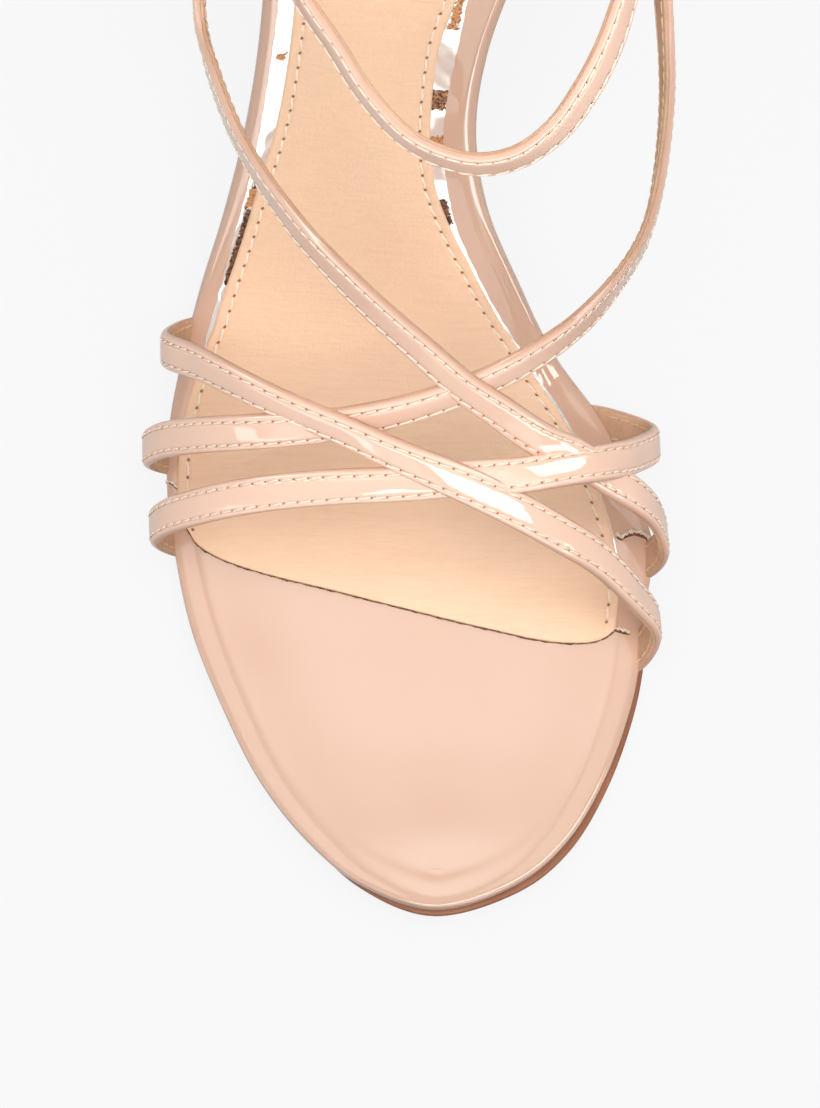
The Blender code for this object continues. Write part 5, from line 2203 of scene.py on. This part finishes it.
@dataclass
class UpperStraps:
    """The four crossed straps of the upper."""

    toe: tuple[Row, ...] = (
        Row(-41.0, 91.6, 22.0),
        Row(-35.6, 87.8, 35.5),
        Row(-29.1, 83.6, 44.0),
        Row(-22.8, 80.1, 48.4),
        Row(-13.2, 75.8, 51.0),
        Row(-3.7, 71.5, 50.8),
        Row(6.0, 67.6, 49.2, 70.5),
        Row(15.9, 63.3, 45.0, 90.0),
        Row(22.8, 60.0, 40.2, 101.0),
        Row(29.7, 56.6, 33.0, 115.0),
        Row(36.1, 51.5, 24.0),
        Row(40.4, 46.8, 14.0),
    )
    ball: tuple[Row, ...] = (
        Row(-42.6, 62.6, 12.5),
        Row(-41.0, 63.9, 20.5),
        Row(-35.4, 65.0, 30.5),
        Row(-29.0, 65.9, 37.5),
        Row(-22.6, 66.5, 42.0),
        Row(-13.1, 67.0, 46.0, 68.0),
        Row(-3.5, 67.3, 47.8, 63.0),
        Row(6.2, 68.2, 47.7, 82.0),
        Row(16.0, 69.0, 46.0, 97.0),
        Row(22.8, 70.3, 43.3, 102.0),
        Row(29.7, 71.7, 37.6, 97.0),
        Row(36.1, 73.8, 27.5),
        Row(40.0, 77.3, 15.0),
    )
    inner_ankle: tuple[Row, ...] = (
        Row(-43.8, 75.6, 13.5),
        Row(-41.6, 76.4, 23.0),
        Row(-35.4, 76.3, 34.0),
        Row(-29.1, 76.1, 41.3),
        Row(-22.7, 76.1, 45.8),
        Row(-13.2, 76.8, 49.6, 50.0),
        Row(-3.7, 78.6, 51.8, 41.0),
        Row(4.3, 81.0, 53.0, 38.0),
        Row(12.2, 84.2, 54.6, 36.0),
        Row(18.4, 87.5, 57.6, 34.0),
        Row(24.5, 91.8, 62.6, 26.0),
        Row(28.8, 96.3, 68.6, 18.0),
        Row(32.3, 101.2, 75.5, 10.0),
        Row(34.2, 105.8, 82.0, 4.0),
        Row(35.2, 111.8, 90.0, 1.0),
        Row(35.5, 119.2, 99.0, -1.0),
        Row(35.2, 125.7, 106.5, -4.0),
        Row(34.0, 134.9, 115.5, -9.0),
        Row(32.4, 148.0, 122.8, -9.0),
        Row(30.4, 160.0, 126.6, -5.0),
        Row(28.9, 171.0, 128.2, -2.0),
        Row(28.3, 182.0, 128.6, 2.0),
    )
    outer_ankle: tuple[Row, ...] = (
        Row(41.6, 60.0, 13.0),
        Row(40.0, 64.3, 22.0),
        Row(36.6, 66.9, 29.0),
        Row(32.0, 69.2, 34.0),
        Row(25.9, 72.3, 40.0),
        Row(19.1, 74.9, 45.4, 62.0),
        Row(12.3, 78.8, 51.0, 52.0),
        Row(5.9, 82.6, 55.6, 45.0),
        Row(-0.6, 87.7, 60.2, 39.0),
        Row(-7.1, 92.8, 65.2, 34.0),
        Row(-13.5, 98.2, 71.0, 27.0),
        Row(-19.3, 103.5, 77.0, 20.0),
        Row(-24.1, 108.8, 83.5, 13.0),
        Row(-28.5, 114.4, 90.5, 8.0),
        Row(-31.6, 119.4, 97.0, 4.0),
        Row(-35.0, 127.3, 106.5, 1.0),
        Row(-36.9, 134.9, 115.5, -3.0),
        Row(-35.4, 148.0, 122.8, -5.0),
        Row(-32.8, 160.0, 126.6, -4.0),
        Row(-31.0, 170.0, 128.2, -2.0),
        Row(-29.2, 182.0, 128.6, 2.0),
    )

    def build(self) -> None:
        """Makes the straps, from the lowest to the one on top."""
        plans = (
            ("inner_ankle_strap", Tuck(Side.OUTER, 74.8), self.inner_ankle, None),
            ("outer_ankle_strap", Tuck(Side.INNER, 57.5), self.outer_ankle, None),
            ("ball_strap", Tuck(Side.OUTER, 61.3), self.ball, Tuck(Side.INNER, 80.6)),
            ("toe_strap", Tuck(Side.OUTER, 93.8), self.toe, Tuck(Side.INNER, 42.0)),
        )
        for name, start, rows, end in plans:
            whole = [*tuck_rows(start), *rows, *(tuck_rows(end)[::-1] if end else [])]
            taper, stitch_to = (0.0, 7.5) if end else (3.0, 3.5)
            Strap(name, Route.through(whole), "upper_straps", taper, 7.5, stitch_to).build()


class BuckleRun(NamedTuple):
    """A point in the buckle's own frame: along the strap and out from it."""

    along: float
    out: float


@dataclass
class AnkleStrap:
    """The ankle strap, from its buckle round the front of the ankle and back to the buckle."""

    rows: tuple[Row, ...] = (
        Row(-28.8, 153.0, 136.4, 6.0),
        Row(-26.4, 143.0, 132.4, 10.0),
        Row(-21.6, 134.0, 128.4, 13.0),
        Row(-16.6, 127.0, 126.4, 13.0),
        Row(-12.1, 120.2, 124.8, 12.0),
        Row(-6.2, 114.0, 123.4, 12.0),
        Row(-0.5, 111.0, 122.4, 14.0),
        Row(5.5, 109.8, 121.9, 18.0),
        Row(11.5, 111.0, 122.2, 22.0),
        Row(17.2, 115.0, 123.2, 30.0),
        Row(21.5, 120.8, 124.8, 37.0),
        Row(24.8, 127.2, 126.6, 37.0),
        Row(27.0, 133.8, 128.4, 32.0),
        Row(29.0, 142.0, 131.2, 24.0),
        Row(30.0, 153.0, 134.8, 14.0),
        Row(29.8, 166.0, 138.2, 6.0),
        Row(28.4, 181.0, 140.8, 6.0),
        Row(22.8, 195.6, 142.0, 14.0),
        Row(8.0, 205.2, 142.6, 20.0),
        Row(-7.0, 205.2, 142.6, 20.0),
        Row(-22.2, 195.6, 142.0, 14.0),
        Row(-29.0, 181.0, 141.0, 6.0),
        Row(-30.8, 169.0, 139.6, 4.0),
    )
    buckle_run: tuple[BuckleRun, ...] = (BuckleRun(-9.5, -0.2), BuckleRun(-4.5, 1.6), BuckleRun(0.0, 3.5))
    tail_stops: tuple[float, ...] = (6.0, 9.5, 13.0, 16.5)
    tail_out: float = 2.2
    fold: float = 1.6
    bend: float = 1.62

    def __post_init__(self) -> None:
        """Works out the strap's way and the buckle's frame."""
        first = Route.through(self.rows)
        start, along, out = (rows[0] for rows in first)
        self.origin = start - along * self.fold
        self.axes = np.stack([along, np.cross(out, along), out])
        flat = self.rows[0].lean
        rows = list(self.rows)
        rows += [Row(*self.spot(run.along, 0.0, run.out), flat) for run in self.buckle_run]
        points, _, outs = first.at(np.array(self.tail_stops))
        rows += [Row(*(point + away * self.tail_out), flat) for point, away in zip(points, outs)]
        self.route = Route.through(rows, reach=2.0)

    def spot(self, along: Any, across: Any, out: Any) -> Array:
        """A point of the buckle's frame, in millimetres along the shoe."""
        parts = np.broadcast_arrays(*(np.asarray(v, float) for v in (along, across, out)))
        return self.origin + np.stack(parts, axis=-1) @ self.axes

    def build_fold(self) -> None:
        """Makes the strap's own end, folded round the buckle's bar and sewn down behind."""
        turn = np.linspace(math.pi / 2, 3 * math.pi / 2, 15)
        bend = self.bend * np.stack([np.cos(turn), np.sin(turn)], axis=1)
        first = np.array([(7.0, 0.1), (5.0, 0.2), (2.6, 0.9), (1.2, 1.45)])
        last = np.array([(1.4, -1.5), (3.2, -1.30), (6.0, -1.15), (10.0, -1.1), (13.0, -1.1)])
        path = smooth(np.vstack([first, bend, last]), 4)
        run = unit(np.gradient(path, axis=0))
        normal = np.stack([-run[:, 1], run[:, 0]], axis=1)
        right = [(0.0, 0.5), (2.7, 0.5), (2.88, 0.3), (2.92, 0.0), (2.88, -0.3), (2.7, -0.5), (0.0, -0.5)]
        loop = mirrored(right)
        flat = path[:, None] + normal[:, None] * loop[None, :, 1, None]
        aside = np.broadcast_to(loop[:, 0], flat.shape[:2])
        spots = self.spot(flat[..., 0], aside, flat[..., 1])
        piece = Bench.sheet("strap_fold", spots, travel(path), loop[:, 0])
        Bench.close(piece)
        settle(piece, PLAIN_PATENT)

    def build(self) -> None:
        """Makes the strap and its fold."""
        Strap("ankle_strap", self.route, "ankle_strap", 3.0, 2.5, 3.5).build()
        self.build_fold()


@dataclass
class Buckle:
    """The rectangular wire buckle with its prong."""

    strap: AnkleStrap
    wire: float = 0.75
    prong_wire: float = 0.55
    length: float = 9.0
    half_height: float = 4.6
    lift: float = 2.4
    corner: float = 1.6
    eye: float = 1.15
    point: float = 1.2
    prong: tuple[BuckleRun, ...] = (
        BuckleRun(-1.5, 0.0),
        BuckleRun(-3.2, 0.4),
        BuckleRun(-5.2, 1.9),
        BuckleRun(-7.2, 3.5),
        BuckleRun(-9.9, 4.2),
    )

    def build_frame(self) -> None:
        """Makes the rounded wire rectangle."""
        tilt = math.atan2(self.lift, self.length)
        path = rounded_box((-self.length, -self.half_height), (0.0, self.half_height), self.corner, 9)
        line = self.strap.spot(path[:, 0] * math.cos(tilt), path[:, 1], -path[:, 0] * math.sin(tilt))
        settle(tube("buckle_wire", line, self.wire, 20, closed=True), ROSE_METAL, "buckle_frame")

    def build_prong(self) -> None:
        """Makes the prong, with an eye round the bar and a tapered point."""
        run = smooth([(r.along, r.out) for r in self.prong], 10)
        turn = np.linspace(0.0, 1.4 * math.pi, 18)
        eye = self.eye * np.stack([-np.cos(turn), np.sin(turn)], axis=1)
        path = np.vstack([eye, run[4:]])
        stops = travel(path)
        even = np.linspace(0.0, stops[-1], 70)
        path = soften(resample(even, stops, path), 3)
        line = self.strap.spot(path[:, 0], 0.0, path[:, 1])
        left = (even[-1] - even) / self.point
        radius = self.prong_wire * np.sqrt(np.clip(left, 0.02, 1.0))
        settle(tube("buckle_tongue", line, radius, 14, closed=False), ROSE_METAL, "buckle_prong")

    def build(self) -> None:
        """Makes the frame and the prong."""
        self.build_frame()
        self.build_prong()


@dataclass
class Band:
    """A patent band round a strap."""

    name: str
    node: str
    length: float
    low: float
    high: float
    half: float = 3.35
    wall: float = 1.0
    corner: float = 0.9
    edge: float = 0.45

    def build(self, centre: Array, axes: Array) -> None:
        """Makes the band.

        Args:
            centre: its middle on the strap.
            axes: along the strap, across it and outwards, as rows.
        """
        half, thick = self.length / 2, self.wall / 2
        side = self.half + thick
        path = rounded_box((-side, self.low - thick), (side, self.high + thick), self.corner, 8)
        run = unit(np.roll(path, -1, axis=0) - np.roll(path, 1, axis=0))
        normal = np.stack([run[:, 1], -run[:, 0]], axis=1)
        turn = np.linspace(-0.5, 0.5, 7) * math.pi
        right = np.stack([half + self.edge * (np.cos(turn) - 1.0), thick * np.sin(turn)], axis=1)
        crown = [(half / 2, thick + 0.08), (0.0, thick + 0.1), (-half / 2, thick + 0.08)]
        loop = np.vstack([right, crown, right[::-1] * (-1.0, 1.0)])
        loop = np.vstack([loop, loop[:1]])
        flat = path[:, None] + normal[:, None] * loop[None, :, 1, None]
        flat = np.concatenate([flat, flat[:1]])
        aside = np.broadcast_to(loop[:, 0], flat.shape[:2])
        spots = centre + np.stack([aside, flat[..., 0], flat[..., 1]], axis=-1) @ axes
        piece = Bench.sheet(f"{self.name}_band", spots, np.append(travel(path), 0.0), loop[:, 0])
        Bench.close(piece)
        settle(piece, PLAIN_PATENT, self.node)


def band_axes(route: Route, stop: float) -> tuple[Array, Array]:
    """The middle and the axes of a band on a strap, at a distance from the strap's start."""
    point, along, out = route.at(stop)
    return point, np.stack([along, np.cross(out, along), out])


# The studio


class Beam(Enum):
    """What a soft light is for: to light the leather, or to be mirrored in its gloss."""

    LIGHT = "light"
    SHINE = "shine"


class Softbox(NamedTuple):
    """A soft light: where it is, what it looks at, its size and how brightly its face glows."""

    name: str
    beam: Beam
    place: Triple
    target: Triple
    wide: float
    tall: float
    glow: float


@dataclass
class Studio:
    """A pale floor, soft lights and the camera that looks down on the toe."""

    target: Triple = (0.0, -0.048, 0.006)
    towards: Triple = (-0.0437, -0.0699, 1.0)
    distance: float = 1.194
    lens: float = 232.8
    sky: float = 0.42
    ground: float = 0.75
    ceiling: Triple = (0.06, 0.08, 0.995)
    ceiling_glow: float = 2.8
    table_edge: Triple = (0.10, -0.75, -0.65)
    table_shade: float = 0.5
    floor_size: float = 8.0
    lights: tuple[Softbox, ...] = (
        Softbox("overhead", Beam.LIGHT, (0.0, -0.03, 1.20), (0.0, -0.03, 0.0), 0.85, 0.85, 6.6),
        Softbox("key_strip", Beam.SHINE, (0.46, -0.84, 0.96), (0.0, -0.04, 0.04), 2.04, 0.20, 11.0),
        Softbox("front_card", Beam.SHINE, (-0.10, -1.40, 0.36), (0.0, -0.04, 0.04), 2.2, 0.62, 1.3),
        Softbox("left_card", Beam.SHINE, (-0.63, -0.15, 1.39), (0.0, -0.04, 0.03), 1.2, 0.65, 1.7),
        Softbox("right_card", Beam.SHINE, (0.70, -0.06, 1.33), (0.0, -0.04, 0.03), 1.0, 0.60, 1.4),
        Softbox("left_strip", Beam.SHINE, (-0.95, -0.90, 0.13), (0.0, -0.03, 0.03), 1.25, 0.23, 3.6),
        Softbox("right_strip", Beam.SHINE, (0.93, -0.90, 0.28), (0.0, -0.03, 0.03), 1.5, 0.12, 8.0),
        Softbox("back_left_strip", Beam.SHINE, (-1.15, 0.80, 0.70), (0.0, 0.06, 0.07), 0.30, 1.2, 8.0),
        Softbox("back_right_strip", Beam.SHINE, (1.15, 0.80, 0.70), (0.0, 0.06, 0.07), 0.30, 1.2, 8.0),
        Softbox("low_left_strip", Beam.SHINE, (-0.55, 0.40, 0.19), (0.0, 0.06, 0.19), 0.10, 0.36, 6.0),
        Softbox("low_right_strip", Beam.SHINE, (0.55, 0.40, 0.19), (0.0, 0.06, 0.19), 0.10, 0.36, 6.0),
    )

    def build_floor(self) -> None:
        """Lays the floor."""
        Bench.clear()
        bpy.ops.mesh.primitive_plane_add(size=self.floor_size)
        floor = bpy.context.object
        floor.name = "floor"
        bpy.ops.object.mode_set(mode="EDIT")
        bpy.ops.mesh.select_all(action="SELECT")
        bpy.ops.mesh.subdivide(number_cuts=4)
        bpy.ops.object.mode_set(mode="OBJECT")
        FloorPaper("floor_paper", "").dress(floor)
        floor.visible_glossy = False
        floor.visible_diffuse = False

    def build_lights(self) -> None:
        """Sets the room and the softboxes."""
        world = bpy.data.worlds.new("studio")
        bpy.context.scene.world = world
        world.use_nodes = True
        room = Graph(world.node_tree, "Background")
        way = room.node("ShaderNodeTexCoord", {}, {}, "Generated")
        above = room.node("ShaderNodeSeparateXYZ", {}, {0: way}, 2).step(-0.15, 0.15)
        lit = room.facing(way, self.ceiling).step(0.974, 0.999)
        shaded = room.facing(way, self.table_edge).step(0.80, 0.98)
        glow = above * (self.sky - self.ground) + self.ground
        glow = glow + lit * self.ceiling_glow - shaded * self.table_shade
        room.shade(Color=(1.0, 1.0, 1.0), Strength=glow)
        for box in self.lights:
            light = bpy.data.lights.new(box.name, "AREA")
            light.shape = "RECTANGLE"
            light.size = box.wide
            light.size_y = box.tall
            light.energy = box.glow * math.pi * box.wide * box.tall
            lamp = bpy.data.objects.new(box.name, light)
            bpy.context.scene.collection.objects.link(lamp)
            lamp.location = box.place
            look = Vector(box.target) - Vector(box.place)
            lamp.rotation_euler = look.to_track_quat("-Z", "Y").to_euler()
            lamp.visible_camera = False
            lamp.visible_diffuse = box.beam is Beam.LIGHT
            lamp.visible_glossy = box.beam is Beam.SHINE

    def build_camera(self) -> None:
        """Sets the camera over the toe, with the heel towards the top of the picture."""
        back = Vector(self.towards).normalized()
        right = (-back).cross(Vector((0.0, 1.0, 0.0))).normalized()
        up = right.cross(-back)
        lens = bpy.data.cameras.new("camera")
        lens.lens = self.lens
        lens.sensor_width = 36.0
        lens.clip_start = 0.05
        lens.clip_end = 20.0
        camera = bpy.data.objects.new("camera", lens)
        bpy.context.scene.collection.objects.link(camera)
        turned = Matrix((right, up, back)).transposed().to_4x4()
        turned.translation = Vector(self.target) + back * self.distance
        camera.matrix_world = turned
        bpy.context.scene.camera = camera

    def build(self) -> None:
        """Sets up the studio."""
        self.build_floor()
        self.build_lights()
        self.build_camera()
        view = bpy.context.scene.view_settings
        view.view_transform = "Standard"
        view.look = "None"
        view.exposure = 0.0
        view.gamma = 1.0


def main() -> None:
    """Builds the sandal and its studio."""
    logging.basicConfig(level=logging.INFO, format="%(message)s")
    Studio().build()
    FOOTBED.build()
    Outsole().build()
    Sock().build()
    FoilTrim().build()
    Heel().build()
    Counter().build()
    UpperStraps().build()
    ankle = AnkleStrap()
    ankle.build()
    Buckle(ankle).build()
    Band("keeper", "keeper", 4.0, -1.25, 3.45).build(*band_axes(ankle.route, 10.5))
    rear = float(ankle.route.stops[int(np.argmax(ankle.route.line[:, 1]))])
    Band("back_loop", "back_loop", 9.0, -1.5, 1.25).build(*band_axes(ankle.route, rear))


if __name__ == "__main__":
    main()
